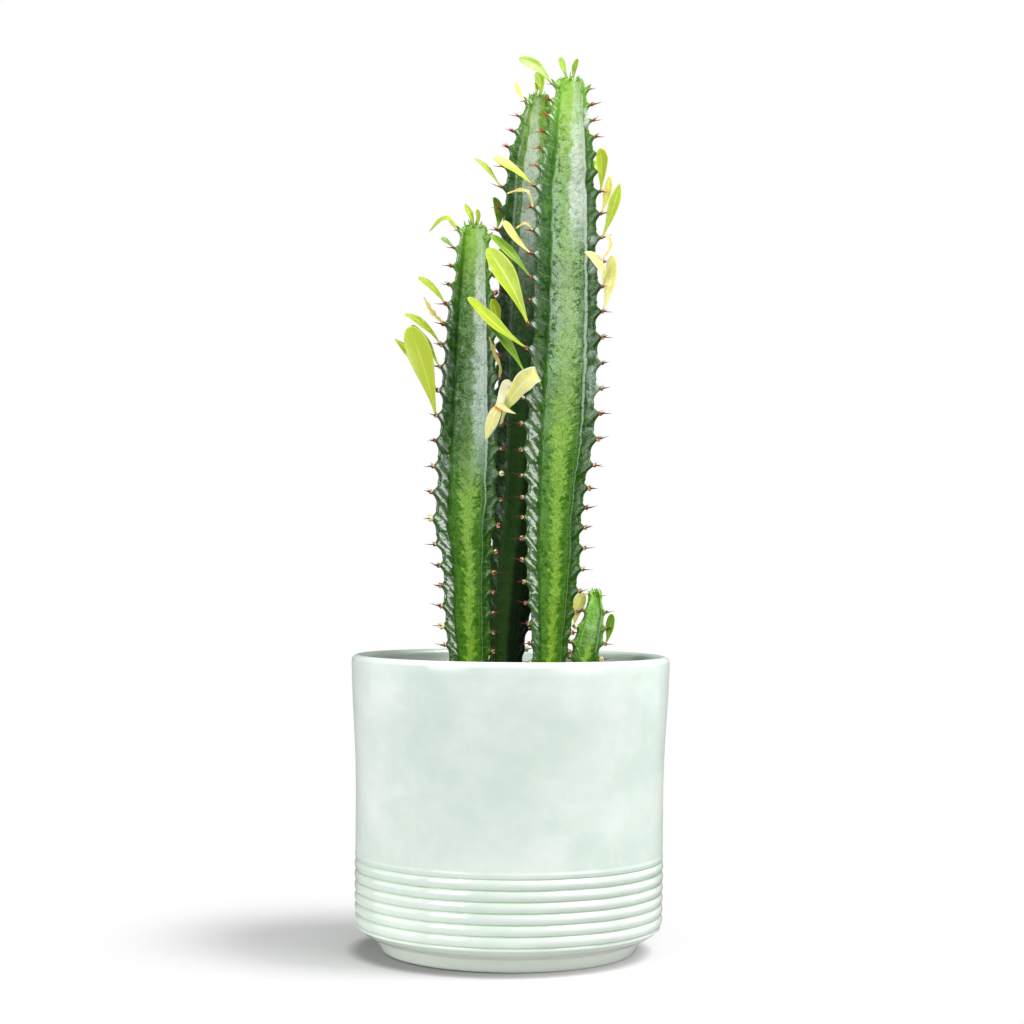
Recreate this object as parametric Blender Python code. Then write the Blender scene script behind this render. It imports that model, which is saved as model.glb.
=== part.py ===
"""African milk tree, three ribbed stems and a young offshoot, in a glazed pot.

Blender 4.5 script. Lengths in the tables are millimetres; meshes are made in
metres. +Z is up, the pot's foot stands on Z = 0 and its axis is the Z axis.
The front of the plant faces -Y.
"""
import math

import bpy
import bmesh
import numpy as np
from mathutils import Vector

MM = 0.001
CLEARANCE = 0.35  # between neighbouring solids

# ---- pot -------------------------------------------------------------------
POT_HEIGHT = 179.6
RIM_RADIUS = 97.5
FOOT_RADIUS = 77.0
FOOT_TOP_RADIUS = 81.2
FOOT_HEIGHT = 7.8
FOOT_WIDTH = 5.0
FOOT_RECESS = 2.6
FLOOR_HEIGHT = 10.0
GROOVE_COUNT = 7
GROOVE_PITCH = 6.53
FIRST_GROOVE = 16.8
GROOVE_DEPTH = 1.1
LIP_INNER_RADIUS = 90.2
RIB_RADIUS = 94.4
LOWEST_RIB_INSET = 0.5
POT_SEGMENTS = 44

# ---- soil ------------------------------------------------------------------
SOIL_TOP = 155.0
STUMP_FOOT = 120.0  # how deep the stems go into the soil

# ---- stems -----------------------------------------------------------------
RIB_ANGLES = {"left": 210.0, "back": 90.0, "right": 330.0}
SLIP_SHARE = {"left": 0.0, "back": -0.6, "right": 1.0}
VALLEY = 0.32       # valley radius over rib reach
FLANK_OUT = 0.64    # flank point, along the rib and beside it, over rib reach
FLANK_SIDE = 0.14
CREST_HALF = 1.2    # half thickness of a rib's crest
TOOTH_DEPTH = 0.17  # how far the crest dips between teeth, over rib reach

# course: height, sideways place of the axis, reach of the ribs
# pitch:  height, distance from a tooth on the left rib to the next one down
# slip:   height, how much lower the right rib's teeth sit
# The course is followed as a smooth curve, pitch and slip along straight lines.
STEMS = {
    "stem_right": {
        "depth": -11.0, "top": 533.0, "first_tooth": 528.4,
        "course": ((120, 23, 8), (158, 23, 12.5), (190, 24, 15), (212, 24.6, 18.4),
                   (240, 25, 21.8), (277, 26, 23.2), (296, 27.4, 26), (322, 29, 27.6),
                   (350, 30.4, 27.2), (390, 31.5, 26), (430, 31.8, 24.8), (465, 31.5, 23.4),
                   (487, 32.4, 20.2), (508, 33, 15), (529, 33.5, 9.8)),
        "pitch": ((165, 10.5), (200, 12), (240, 13.4), (287, 11.8), (292, 15), (320, 16),
                  (380, 14.6), (450, 14), (480, 12.3), (492, 10.6), (530, 9.5)),
        "slip": ((165, 4.8), (280, 6), (300, 8.8), (360, 9.2), (400, 6), (460, 3), (530, 3)),
    },
    "stem_left": {
        "depth": -4.0, "top": 443.5, "first_tooth": 439.5,
        "course": ((120, -24.5, 8), (158, -24.8, 13), (184, -25.4, 17), (200, -26.5, 18.6),
                   (222, -27, 18.8), (240, -27.6, 20.6), (257, -28.8, 23.6), (274, -28.2, 24.6),
                   (308, -27.2, 23.8), (350, -26.8, 21.4), (390, -26.4, 17.8),
                   (405, -26.2, 15), (420, -26, 13.2), (440, -24.8, 9.4)),
        "pitch": ((165, 11), (190, 11.2), (225, 12.6), (245, 12), (256, 16), (295, 15.8),
                  (345, 15.2), (380, 12.8), (440, 10.8)),
        "slip": ((165, 3.8), (300, 4.2), (350, 6.5), (440, 4)),
    },
    "stem_middle": {
        "depth": 43.0, "top": 535.0, "first_tooth": 530.0,
        "course": ((120, -2.4, 8), (158, -2.8, 13), (187, -2.4, 15.2), (215, -0.4, 19.4), (250, 3.6, 22.4),
                   (320, 8, 25), (400, 10.5, 26.4), (432, 10.6, 26.6), (447, 11.2, 25.6),
                   (474, 12.4, 24.5), (500, 13.6, 21.6), (511, 14, 18.2), (530, 14.6, 10.6)),
        "pitch": ((165, 12.5), (300, 15), (440, 14.6), (470, 13.6), (500, 12.8), (512, 10),
                  (530, 9.8)),
        "slip": ((165, 5), (530, 4)),
    },
    "offshoot": {
        "depth": 2.0, "top": 219.5, "first_tooth": 217.4,
        "course": ((120, 42, 6), (158, 44, 10), (178, 45.8, 11.6), (189, 47.3, 12.8),
                   (198, 49.2, 11.4), (206, 51.2, 8.8), (217, 51.5, 5)),
        "pitch": ((165, 10), (190, 9.4), (206, 9.6), (218, 10)),
        "slip": ((165, 1.6), (218, 0.8)),
    },
}
LOWEST_TOOTH = 166.0

# ---- leaves ----------------------------------------------------------------
LEAF_THICKNESS = 1.0
# lean:   degrees from upright, positive to the right
# toward: degrees out of that plane, positive to the front
# turn:   degrees the blade is turned away from facing the front
# arch:   rise of the blade's middle over its length
# name: (stem, rib or top, height, length, lean, toward, width, turn, arch, tone)
LEAVES = {
    "leaf_right_1": ("stem_right", "left", 528, 28, -54, 10, 9, 35, 0.22, "fresh"),
    "leaf_right_2": ("stem_right", "left", 465, 29, -58, 15, 9, 50, 0.10, "fresh"),
    "leaf_right_3": ("stem_right", "left", 423, 26, -43, 15, 9, 50, -0.10, "yellow"),
    "leaf_right_4": ("stem_right", "left", 409, 35, -46, 15, 10, 50, 0.06, "green"),
    "leaf_right_5": ("stem_right", "left", 379, 52, -30, 16, 13, 35, 0.08, "fresh"),
    "leaf_right_6": ("stem_right", "left", 364, 49, -52, 24, 12, 50, -0.06, "fresh"),
    "leaf_right_7": ("stem_right", "left", 349, 40, -37, 8, 12, 55, 0.06, "green"),
    "leaf_right_8": ("stem_right", "right", 461, 27, -3, 28, 9, 35, 0.06, "fresh"),
    "leaf_right_9": ("stem_right", "right", 445, 26, 12, -14, 8, 62, -0.08, "yellow"),
    "leaf_right_10": ("stem_right", "right", 432, 34, 18, 10, 10, 45, -0.06, "fresh"),
    "leaf_right_11": ("stem_right", "right", 403, 29, -34, 42, 9, 45, 0.28, "yellow"),
    "leaf_right_12": ("stem_right", "right", 387, 34, 9, 8, 10, 58, -0.08, "yellow"),
    "leaf_right_13": ("stem_right", "top", -1, 15, -20, 0, 5, 35, -0.12, "fresh"),
    "leaf_right_14": ("stem_right", "top", 2, 13, 11, 5, 4.5, 40, 0.10, "fresh"),
    "leaf_right_15": ("stem_right", "back", 505, 24, 8, -48, 9, 20, 0.10, "fresh"),
    "leaf_right_16": ("stem_right", "back", 462, 33, 40, -24, 10, 35, 0.10, "green"),
    "leaf_middle_1": ("stem_middle", "top", 2, 16, -10, 0, 6.5, 15, 0.05, "fresh"),
    "leaf_middle_2": ("stem_middle", "top", -1.4, 9, -2, 0, 3.5, 40, 0.05, "fresh"),
    "leaf_middle_3": ("stem_middle", "left", 530, 13, -26, 5, 4.5, 40, -0.08, "yellow"),
    "leaf_middle_4": ("stem_middle", "left", 474, 24, -43, 5, 8, 62, 0.08, "fresh"),
    "leaf_middle_5": ("stem_middle", "left", 447, 24, -5, -22, 8, 40, 0.14, "green"),
    "leaf_middle_6": ("stem_middle", "left", 487, 8, -36, 0, 4, 50, 0.05, "yellow"),
    "leaf_middle_7": ("stem_middle", "back", 500, 30, 12, -46, 10, 20, 0.10, "fresh"),
    "leaf_middle_8": ("stem_middle", "back", 447, 34, -46, -34, 11, 25, 0.12, "green"),
    "leaf_middle_9": ("stem_middle", "right", 470, 32, 42, -20, 10, 40, 0.10, "fresh"),
    "leaf_left_1": ("stem_left", "top", 0, 15, -25, 0, 5, 40, 0.06, "fresh"),
    "leaf_left_2": ("stem_left", "top", 2, 10.5, -3, 5, 4, 45, 0.05, "fresh"),
    "leaf_left_3": ("stem_left", "left", 424, 9.5, -54, 10, 5, 50, 0.10, "green"),
    "leaf_left_4": ("stem_left", "left", 395, 23, -47, 8, 8, 55, 0.10, "fresh"),
    "leaf_left_5": ("stem_left", "left", 369, 29, -51, 8, 9, 55, 0.14, "fresh"),
    "leaf_left_6": ("stem_left", "left", 355, 31, -34, -6, 9, 55, 0.05, "fresh"),
    "leaf_left_7": ("stem_left", "left", 340, 42, -40, -8, 10, 50, 0.06, "fresh"),
    "leaf_left_8": ("stem_left", "left", 325, 57, -17, 18, 17, 8, 0.05, "fresh"),
    "leaf_left_9": ("stem_left", "right", 378, 23, -13, 30, 8, 40, 0.06, "fresh"),
    "leaf_left_10": ("stem_left", "back", 405, 30, -14, -48, 10, 10, 0.10, "green"),
    "leaf_offshoot_1": ("offshoot", "left", 198, 23, 16, -24, 8, 45, 0.12, "yellow"),
    "leaf_offshoot_2": ("offshoot", "right", 187, 19, 11, -12, 8, 50, -0.12, "green"),
}

# Shrivelled or bent leaves: (stem, rib, height, tone, stalk's half width, way from the tooth);
# the way holds steps from the seat, sideways, forward and upward, and the half width there
BENT_LEAVES = {
    "bent_leaf_right": ("stem_right", "left", 335, "pale", 0.6,
                        ((-4, 1, 3.5, 0.9), (-8, 2, 7.6, 1.6), (-10.6, 3, 8.2, 2.3), (-12.6, 4.6, 2.4, 2.5),
                         (-14.6, 7, -5.4, 2.4), (-17.2, 8.6, -11, 3.5), (-19.8, 9, -18, 3.5),
                         (-22.4, 9, -26.6, 0.4))),
    "bent_leaf_left": ("stem_left", "right", 319, "pale", 0.8,
                       ((2.1, 7, 7, 1.2), (4.8, 13, 12.6, 2.9), (8.5, 18, 18, 4.6), (13.2, 21, 23.4, 5.7),
                        (17.8, 22, 27, 5.9), (22, 21, 28.6, 4.6))),
    "dry_leaf_right_1": ("stem_right", "left", 450, "dry", 0.4,
                         ((-2, 3, 7, 0.8), (-5, 4.5, 9.2, 1), (-10, 5, 9, 0.8), (-16, 5, 7, 0.3))),
    "dry_leaf_right_2": ("stem_right", "left", 437, "dry", 0.4,
                         ((-3, 2.4, 3, 0.8), (-6, 3.4, 3, 0.8), (-10, 3, 0.2, 0.3))),
    "dry_leaf_right_3": ("stem_right", "right", 432, "dry", 0.4,
                         ((3.4, 3, 0, 0.8), (5.4, 4, -4, 1), (4.2, 5.4, -9, 0.8), (1, 7, -14, 0.3))),
    "dry_leaf_left_1": ("stem_left", "left", 439, "fresh", 0.4,
                        ((-2.6, 1, 3.4, 1.2), (-6, 1.4, 7, 1.5), (-11, 1, 5.6, 1.2), (-17, 0, -1, 0.4))),
    "dry_leaf_left_2": ("stem_left", "left", 382, "dry", 0.4,
                        ((-3.6, 1.4, 3, 1.2), (-7, 2, 6.4, 1.5), (-9.6, 2, 11, 1.2), (-12, 2, 15.5, 0.4))),
    "dry_leaf_left_3": ("stem_left", "right", 348, "dry", 0.4,
                        ((0.4, 5, 6, 1), (-2.4, 7.4, 12, 1.2), (-4.4, 8, 18, 1), (-6.4, 8, 24, 0.4))),
}

TONES = {
    "fresh": (0.42, 0.66, 0.06), "green": (0.12, 0.36, 0.04), "yellow": (0.72, 0.74, 0.12),
    "pale": (0.80, 0.76, 0.30), "dry": (0.62, 0.46, 0.16),
}


# ---- helpers ---------------------------------------------------------------
def clear_scene():
    for thing in list(bpy.data.objects):
        bpy.data.objects.remove(thing, do_unlink=True)


def material(name, color, roughness, coat=0.0):
    """A plain Principled finish, made once for each name."""
    found = bpy.data.materials.get(name)
    if found:
        return found
    made = bpy.data.materials.new(name)
    made.use_nodes = True
    shader = made.node_tree.nodes["Principled BSDF"]
    shader.inputs["Base Color"].default_value = (*color, 1.0)
    shader.inputs["Roughness"].default_value = roughness
    shader.inputs["Coat Weight"].default_value = coat
    made.diffuse_color = (*color, 1.0)
    return made


def add_object(name, points, faces, finish, smooth_angle=40.0):
    """A closed mesh object from points in millimetres, its faces turned outward."""
    mesh = bpy.data.meshes.new(name)
    mesh.from_pydata([tuple(float(v) * MM for v in p) for p in points], [], faces)
    work = bmesh.new()
    work.from_mesh(mesh)
    bmesh.ops.recalc_face_normals(work, faces=work.faces)
    work.to_mesh(mesh)
    work.free()
    mesh.shade_smooth()
    mesh.set_sharp_from_angle(angle=math.radians(smooth_angle))
    mesh.materials.append(finish)
    made = bpy.data.objects.new(name, mesh)
    bpy.context.collection.objects.link(made)
    return made


def ring_faces(ring_count, ring_size):
    """Quads between successive closed rings, with a flat face over each end."""
    faces = []
    for row in range(ring_count - 1):
        for step in range(ring_size):
            nxt = (step + 1) % ring_size
            faces.append((row * ring_size + step, row * ring_size + nxt,
                          (row + 1) * ring_size + nxt, (row + 1) * ring_size + step))
    faces.append(tuple(range(ring_size)))
    faces.append(tuple(range((ring_count - 1) * ring_size, ring_count * ring_size)))
    return faces


def turned_body(name, profile, finish):
    """A profile of (radius, height) turned about Z; a radius of 0 is a pole."""
    points, rings = [], []
    for radius, height in profile:
        count = POT_SEGMENTS if radius > 0 else 1
        rings.append([len(points) + k for k in range(count)])
        for k in range(count):
            turn = 2 * math.pi * k / POT_SEGMENTS
            points.append((radius * math.cos(turn), radius * math.sin(turn), height))
    faces = []
    for upper, lower in zip(rings, rings[1:]):
        for k in range(POT_SEGMENTS):
            nxt = (k + 1) % POT_SEGMENTS
            corners = (upper[k % len(upper)], upper[nxt % len(upper)],
                       lower[nxt % len(lower)], lower[k % len(lower)])
            faces.append(tuple(dict.fromkeys(corners)))
    return add_object(name, points, faces, finish)


def flow(stations, height, column=1):
    """Smooth value at a height: cubics through the stations with averaged slopes."""
    table = np.array(sorted(stations), float)
    at, value = table[:, 0], table[:, column]
    slope = np.gradient(value, at) if len(at) > 2 else np.full(2, np.diff(value) / np.diff(at))
    height = min(max(height, at[0]), at[-1])
    k = int(min(max(np.searchsorted(at, height) - 1, 0), len(at) - 2))
    span = at[k + 1] - at[k]
    t = (height - at[k]) / span
    return ((2 * t**3 - 3 * t**2 + 1) * value[k] + (t**3 - 2 * t**2 + t) * span * slope[k]
            + (3 * t**2 - 2 * t**3) * value[k + 1] + (t**3 - t**2) * span * slope[k + 1])


def ramp(stations, height):
    """Value at a height on the straight lines between a few stations."""
    return float(np.interp(height, *zip(*stations)))


# ---- pot and soil ----------------------------------------------------------
def inner_wall():
    """(radius, height) of the pot's inside, from just under the lip to the floor."""
    return [(89.6, 172.0), (88.6, 150.0), (87.4, 110.0), (86.8, 40.0), (85.8, 24.0),
            (82.5, 15.0), (76.0, FLOOR_HEIGHT + 0.8), (68.0, FLOOR_HEIGHT)]


def pot_profile():
    foot_inner = FOOT_RADIUS - FOOT_WIDTH
    profile = [(0, FOOT_RECESS), (foot_inner - 1.5, FOOT_RECESS), (foot_inner, 0),
               (FOOT_RADIUS - 0.6, 0), (FOOT_RADIUS + 0.6, 0.8), (FOOT_TOP_RADIUS, FOOT_HEIGHT),
               (82.4, 9.1), (86.3, 10.7), (89.9, 12.8), (92.1, 15.2)]
    for index in range(GROOVE_COUNT):
        height = FIRST_GROOVE + index * GROOVE_PITCH
        crest = RIB_RADIUS - (LOWEST_RIB_INSET if index == 0 else 0.0)
        profile.append((crest - GROOVE_DEPTH, height))
        if index < GROOVE_COUNT - 1:
            profile.append((crest, height + GROOVE_PITCH * 0.28))
            profile.append((crest, height + GROOVE_PITCH * 0.72))
    profile += [(94.0, 57.8), (94.2, 62.0), (94.1, 90.0), (94.7, 122.0), (95.6, 138.0),
                (96.7, 154.0), (RIM_RADIUS, 172.0)]
    lip_centre = (RIM_RADIUS + LIP_INNER_RADIUS) / 2
    lip_half = (RIM_RADIUS - LIP_INNER_RADIUS) / 2
    for degrees in (8, 35, 62, 90, 118, 145, 172):
        turn = math.radians(degrees)
        profile.append((lip_centre + lip_half * math.cos(turn),
                        POT_HEIGHT - lip_half * (1 - math.sin(turn))))
    return profile + inner_wall() + [(0, FLOOR_HEIGHT)]


def make_pot():
    glaze = material("pot_glaze", (0.73, 0.82, 0.77), 0.12, 0.6)
    return turned_body("pot", pot_profile(), glaze)


def make_soil():
    wall = [(radius - CLEARANCE, height + CLEARANCE) for radius, height in inner_wall()
            if height < SOIL_TOP]
    profile = ([(0, SOIL_TOP), (60.0, SOIL_TOP), (wall[0][0], SOIL_TOP - 1.0)] + wall
               + [(0, FLOOR_HEIGHT + CLEARANCE)])
    return turned_body("soil", profile, material("soil", (0.06, 0.04, 0.03), 0.95))


# ---- stems -----------------------------------------------------------------
def tooth_heights(stem):
    """Heights of the left rib's teeth, stepping down by the pitch at each height."""
    heights, height = [], stem["first_tooth"]
    while height > LOWEST_TOOTH:
        heights.append(height)
        height -= ramp(stem["pitch"], height)
    return heights


def rib_drop(stem, rib, height):
    """How much lower than the left rib's teeth those of this rib sit."""
    return SLIP_SHARE[rib] * ramp(stem["slip"], height)


def rib_point(stem, angle, out, side, height):
    """A point out along a rib and to its side, about the stem's axis."""
    turn = math.radians(angle)
    middle = flow(stem["course"], height)
    return (middle + out * math.cos(turn) - side * math.sin(turn),
            stem["depth"] + out * math.sin(turn) + side * math.cos(turn), height)


def stem_ring(stem, heights, reaches, crests, roundness):
    """Fifteen points: for each rib a flank, two crest points, a flank and a valley.

    A roundness of 1 turns the ribbed outline into a circle.
    """
    ring, round_flank = [], math.radians(28)
    ribs = sorted(RIB_ANGLES, key=RIB_ANGLES.get)
    for k, rib in enumerate(ribs):
        nxt = ribs[(k + 1) % len(ribs)]
        angle, height, reach = RIB_ANGLES[rib], heights[rib], reaches[rib]
        out = reach * (FLANK_OUT * (1 - roundness) + math.cos(round_flank) * roundness)
        side = reach * (FLANK_SIDE * (1 - roundness) + math.sin(round_flank) * roundness)
        between = (height + heights[nxt]) / 2
        valley = (reach + reaches[nxt]) / 2 * (VALLEY * (1 - roundness) + roundness)
        ring.append(rib_point(stem, angle, out, -side, height))
        ring.append(rib_point(stem, angle, crests[rib], -CREST_HALF, height))
        ring.append(rib_point(stem, angle, crests[rib], CREST_HALF, height))
        ring.append(rib_point(stem, angle, out, side, height))
        ring.append(rib_point(stem, angle + 60, valley, 0, between))
    return ring


def even_ring(stem, height, reach, roundness):
    """A ring at one height with the same reach on each rib."""
    flat, far = dict.fromkeys(RIB_ANGLES, height), dict.fromkeys(RIB_ANGLES, reach)
    return stem_ring(stem, flat, far, far, roundness)


def stem_rings(stem):
    """All rings from the tip to the foot of a stem, with its teeth."""
    slim = flow(stem["course"], stem["first_tooth"], 2)
    rings = [even_ring(stem, stem["top"], 0.34 * slim, 0.9),
             even_ring(stem, stem["top"] - 0.25 * (stem["top"] - stem["first_tooth"]),
                       0.62 * slim, 0.5)]
    teeth = tooth_heights(stem)
    for upper, lower in zip(teeth, teeth[1:] + [None]):
        for height, dip in ((upper, 0.0), ((upper + lower) / 2 if lower else None, 1.0)):
            if height is None:
                continue
            heights, reaches, crests = {}, {}, {}
            for rib in RIB_ANGLES:
                heights[rib] = height - rib_drop(stem, rib, height)
                reaches[rib] = flow(stem["course"], heights[rib], 2)
                crests[rib] = reaches[rib] * (1 - dip * TOOTH_DEPTH)
            rings.append(stem_ring(stem, heights, reaches, crests, 0.0))
    return rings


def buried_rings(stem, extra=0.0):
    """Rings of the smooth foot of a stem, from just above the soil down."""
    rings = []
    for height, roundness in ((SOIL_TOP + 3, 0.45), (SOIL_TOP - 3, 0.8), (STUMP_FOOT, 0.9)):
        reach = flow(stem["course"], height, 2)
        rings.append(even_ring(stem, height, reach + extra, roundness))
    return rings


def make_stem(name, stem):
    rings = stem_rings(stem) + buried_rings(stem)
    points = [point for ring in rings for point in ring]
    green = material(name + "_skin", (0.07, 0.24, 0.06), 0.35, 0.3)
    return add_object(name, points, ring_faces(len(rings), len(rings[0])), green, 25.0)


def socket_cutter(name, stem):
    """The space in the soil that a stem's foot fills, a little wider than the foot."""
    rings = buried_rings(stem, 2 * CLEARANCE)
    rings[-1] = [(x, y, z - CLEARANCE) for x, y, z in rings[-1]]
    points = [point for ring in rings for point in ring]
    cutter = add_object("cutter_" + name, points, ring_faces(len(rings), len(rings[0])),
                        material("cutter", (0.5, 0.5, 0.5), 0.5))
    cutter.hide_render = True
    cutter.display_type = "WIRE"
    return cutter


def plant_in_soil(soil):
    for name, stem in STEMS.items():
        cut = soil.modifiers.new("socket_" + name, "BOOLEAN")
        cut.operation = "DIFFERENCE"
        cut.solver = "EXACT"
        cut.object = socket_cutter(name, stem)


# ---- leaves ----------------------------------------------------------------
def leaf_seat(stem, rib, place, forward=0.0):
    """Where a leaf starts: just off the nearest tooth, or on the stem's tip."""
    if rib == "top":
        middle = flow(stem["course"], stem["top"])
        return Vector((middle + place, stem["depth"], stem["top"] + 2 * CLEARANCE))
    tips = [height - rib_drop(stem, rib, height) for height in tooth_heights(stem)]
    height = min(tips, key=lambda tip: abs(tip - place))
    reach = flow(stem["course"], height, 2) + 2 * CLEARANCE
    side = forward if rib == "left" else -forward
    return Vector(rib_point(stem, RIB_ANGLES[rib], reach, side, height))


def blade(name, middle_line, half_widths, face, tone):
    """A thin blade along a line: four points a ring, widest across the face direction."""
    rings = []
    for k, point in enumerate(middle_line):
        along = (middle_line[min(k + 1, len(middle_line) - 1)] - middle_line[max(k - 1, 0)])
        along.normalize()
        across = along.cross(face).normalized()
        normal = across.cross(along).normalized()
        half = half_widths[k]
        thick = min(LEAF_THICKNESS / 2, half)
        rings += [point + across * half, point + normal * thick,
                  point - across * half, point - normal * thick]
    return add_object(name, rings, ring_faces(len(middle_line), 4),
                      material("leaf_" + tone, TONES[tone], 0.45), 60.0)


def leaf_half_width(share, width):
    """Spoon-shaped outline: a narrow stalk, widest past the middle, a blunt tip."""
    return max(0.28, width / 2 * math.sin(math.pi * min(share, 0.985) ** 1.45) ** 0.8)


def make_leaf(name, spec):
    stem_name, rib, place, length, lean, toward, width, turn, arch, tone = spec
    seat = leaf_seat(STEMS[stem_name], rib, place)
    lean, toward, turn = (math.radians(v) for v in (lean, toward, turn))
    along = Vector((math.sin(lean) * math.cos(toward), -math.sin(toward),
                    math.cos(lean) * math.cos(toward)))
    sideways = Vector((0, -1, 0)).cross(along).normalized()
    front = along.cross(sideways).normalized()
    if front.y > 0:
        front = -front
    upward = sideways if sideways.z > 0 else -sideways
    face = front * math.cos(turn) + upward * math.sin(turn)
    shares = (0.0, 0.16, 0.36, 0.56, 0.76, 0.92, 1.0)
    line = [seat + along * length * t + upward * arch * length * 4 * t * (1 - t) / 2
            for t in shares]
    return blade(name, line, [leaf_half_width(t, width) for t in shares], face, tone)


def make_bent_leaf(name, spec):
    stem_name, rib, place, tone, stalk, way = spec
    seat = leaf_seat(STEMS[stem_name], rib, place, CREST_HALF)
    line = [seat] + [seat + Vector((right, -forward, up)) for right, forward, up, _ in way]
    halves = [stalk] + [half for *_, half in way]
    return blade(name, line, halves, Vector((0.25, -1, 0.35)).normalized(), tone)


def main():
    clear_scene()
    make_pot()
    soil = make_soil()
    for name, stem in STEMS.items():
        make_stem(name, stem)
    plant_in_soil(soil)
    for name, spec in LEAVES.items():
        make_leaf(name, spec)
    for name, spec in BENT_LEAVES.items():
        make_bent_leaf(name, spec)


main()
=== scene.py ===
"""African milk tree in a glazed pot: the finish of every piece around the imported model.

Lengths in the tables are millimetres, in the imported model's frame: +Z up, the
pot's foot on Z = 0, the front of the plant towards -Y.
"""

import math

import bpy
import numpy as np
from mathutils import Euler, Matrix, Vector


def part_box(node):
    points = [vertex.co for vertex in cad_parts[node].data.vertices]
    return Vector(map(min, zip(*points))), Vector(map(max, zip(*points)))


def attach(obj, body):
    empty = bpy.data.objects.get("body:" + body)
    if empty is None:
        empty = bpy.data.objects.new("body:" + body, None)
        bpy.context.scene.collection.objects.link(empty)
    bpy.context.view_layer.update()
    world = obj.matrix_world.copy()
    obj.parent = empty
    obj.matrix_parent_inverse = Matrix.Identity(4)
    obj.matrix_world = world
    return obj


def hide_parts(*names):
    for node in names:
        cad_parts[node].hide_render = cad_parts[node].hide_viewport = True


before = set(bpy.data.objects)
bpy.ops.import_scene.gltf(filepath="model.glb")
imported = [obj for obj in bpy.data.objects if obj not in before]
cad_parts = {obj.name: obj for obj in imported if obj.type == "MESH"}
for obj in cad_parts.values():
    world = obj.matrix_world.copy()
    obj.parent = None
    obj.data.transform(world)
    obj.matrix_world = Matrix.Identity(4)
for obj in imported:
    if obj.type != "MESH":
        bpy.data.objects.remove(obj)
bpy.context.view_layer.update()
MM = 0.001
TAU = 2 * math.pi

# ---- pot -------------------------------------------------------------------
POT_LOW, POT_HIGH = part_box("pot")
RIM_RADIUS = POT_HIGH.x / MM
POT_HEIGHT = POT_HIGH.z / MM
FOOT_RADIUS = 77.0
FOOT_TOP_RADIUS = 81.2
FOOT_HEIGHT = 7.8
FLOOR_HEIGHT = 10.0
GROOVE_COUNT = 7
GROOVE_PITCH = 6.53
FIRST_GROOVE = 16.8
GROOVE_DEPTH = 0.42
GROOVE_HALF_WIDTH = 0.5
RIB_RADIUS = 94.2
RIB_SWELL = 1.0
RIBS_FOOT = 15.2
LIP_INNER_RADIUS = 90.2
SOIL_TOP = 155.0
SOIL_RADIUS = 88.0
POT_SEGMENTS = 240

# ---- stems -----------------------------------------------------------------
RIB_ANGLES = {"left": 210.0, "back": 90.0, "right": 330.0}
SLIP_SHARE = {"left": 0.0, "back": -0.6, "right": 1.0}
VALLEY = 0.27
TOOTH_DEPTH = 0.175
WING_RUN = 0.50
WING_FLARE = 0.02
CREST_HALF = 1.15
KNOB = 0.06
LOWEST_TOOTH = 166.0
USUAL_REACH = 25.0
BURIED = 12.0
ROW_STEP = 0.7
UP = np.array([0, 0, 1.0])
# course: height, sideways place of the axis, reach of the ribs
# pitch:  height, distance from a tooth on the left rib to the next one down
# slip:   height, how much lower the right rib's teeth sit
STEMS = {
    "stem_right": {
        "depth": -11.0, "top": 533.0, "first_tooth": 528.4,
        "course": ((120, 23, 8), (158, 23, 12.5), (190, 24, 15), (212, 24.6, 18.4), (240, 25, 21.8),
                   (277, 26, 23.2), (296, 27.4, 26), (322, 29, 27.6), (350, 30.4, 27.2), (390, 31.5, 26),
                   (430, 31.8, 24.8), (465, 31.5, 23.4), (487, 32.4, 20.6), (508, 33, 16.8),
                   (529, 33.5, 13.6)),
        "pitch": ((165, 10.5), (200, 12), (240, 13.4), (287, 11.8), (292, 15), (320, 16), (380, 14.6),
                  (450, 14), (480, 12.3), (492, 10.6), (530, 9.5)),
        "slip": ((165, 4.8), (280, 6), (300, 8.8), (360, 9.2), (400, 6), (460, 3), (530, 3)),
    },
    "stem_left": {
        "depth": -4.0, "top": 443.5, "first_tooth": 439.5,
        "course": ((120, -24.5, 8), (158, -24.8, 13), (184, -25.4, 17), (200, -26.5, 18.6),
                   (222, -27, 18.8), (240, -27.6, 20.6), (257, -28.8, 23.6), (274, -28.2, 24.6),
                   (308, -27.2, 23.8), (350, -26.8, 21.6), (390, -26.2, 18.6), (405, -25.8, 16.6),
                   (420, -25.4, 15.2), (440, -24.6, 12.4)),
        "pitch": ((165, 11), (190, 11.2), (225, 12.6), (245, 12), (256, 16), (295, 15.8), (345, 15.2),
                  (380, 12.8), (440, 10.8)),
        "slip": ((165, 3.8), (300, 4.2), (350, 6.5), (440, 4)),
    },
    "stem_middle": {
        "depth": 43.0, "top": 535.0, "first_tooth": 530.0,
        "course": ((120, -2.4, 8), (158, -2.8, 13), (187, -2.4, 15.2), (215, -0.4, 19.4),
                   (250, 3.6, 22.4), (320, 8, 25), (400, 10.5, 26.4), (432, 10.6, 26.6),
                   (447, 11.2, 25.6), (474, 12.4, 24.5), (500, 13.6, 21.6), (511, 14, 18.2),
                   (530, 14.6, 10.6)),
        "pitch": ((165, 12.5), (300, 15), (440, 14.6), (470, 13.6), (500, 12.8), (512, 10), (530, 9.8)),
        "slip": ((165, 5), (530, 4)),
    },
    "offshoot": {
        "depth": 2.0, "top": 219.5, "first_tooth": 217.4,
        "course": ((120, 42, 6), (158, 44, 10), (178, 45.8, 11.6), (189, 47.3, 12.8), (198, 49.2, 11.4),
                   (206, 51.2, 8.8), (217, 51.5, 5)),
        "pitch": ((165, 10), (190, 9.4), (206, 9.6), (218, 10)),
        "slip": ((165, 1.6), (218, 0.8)),
    },
}

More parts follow.
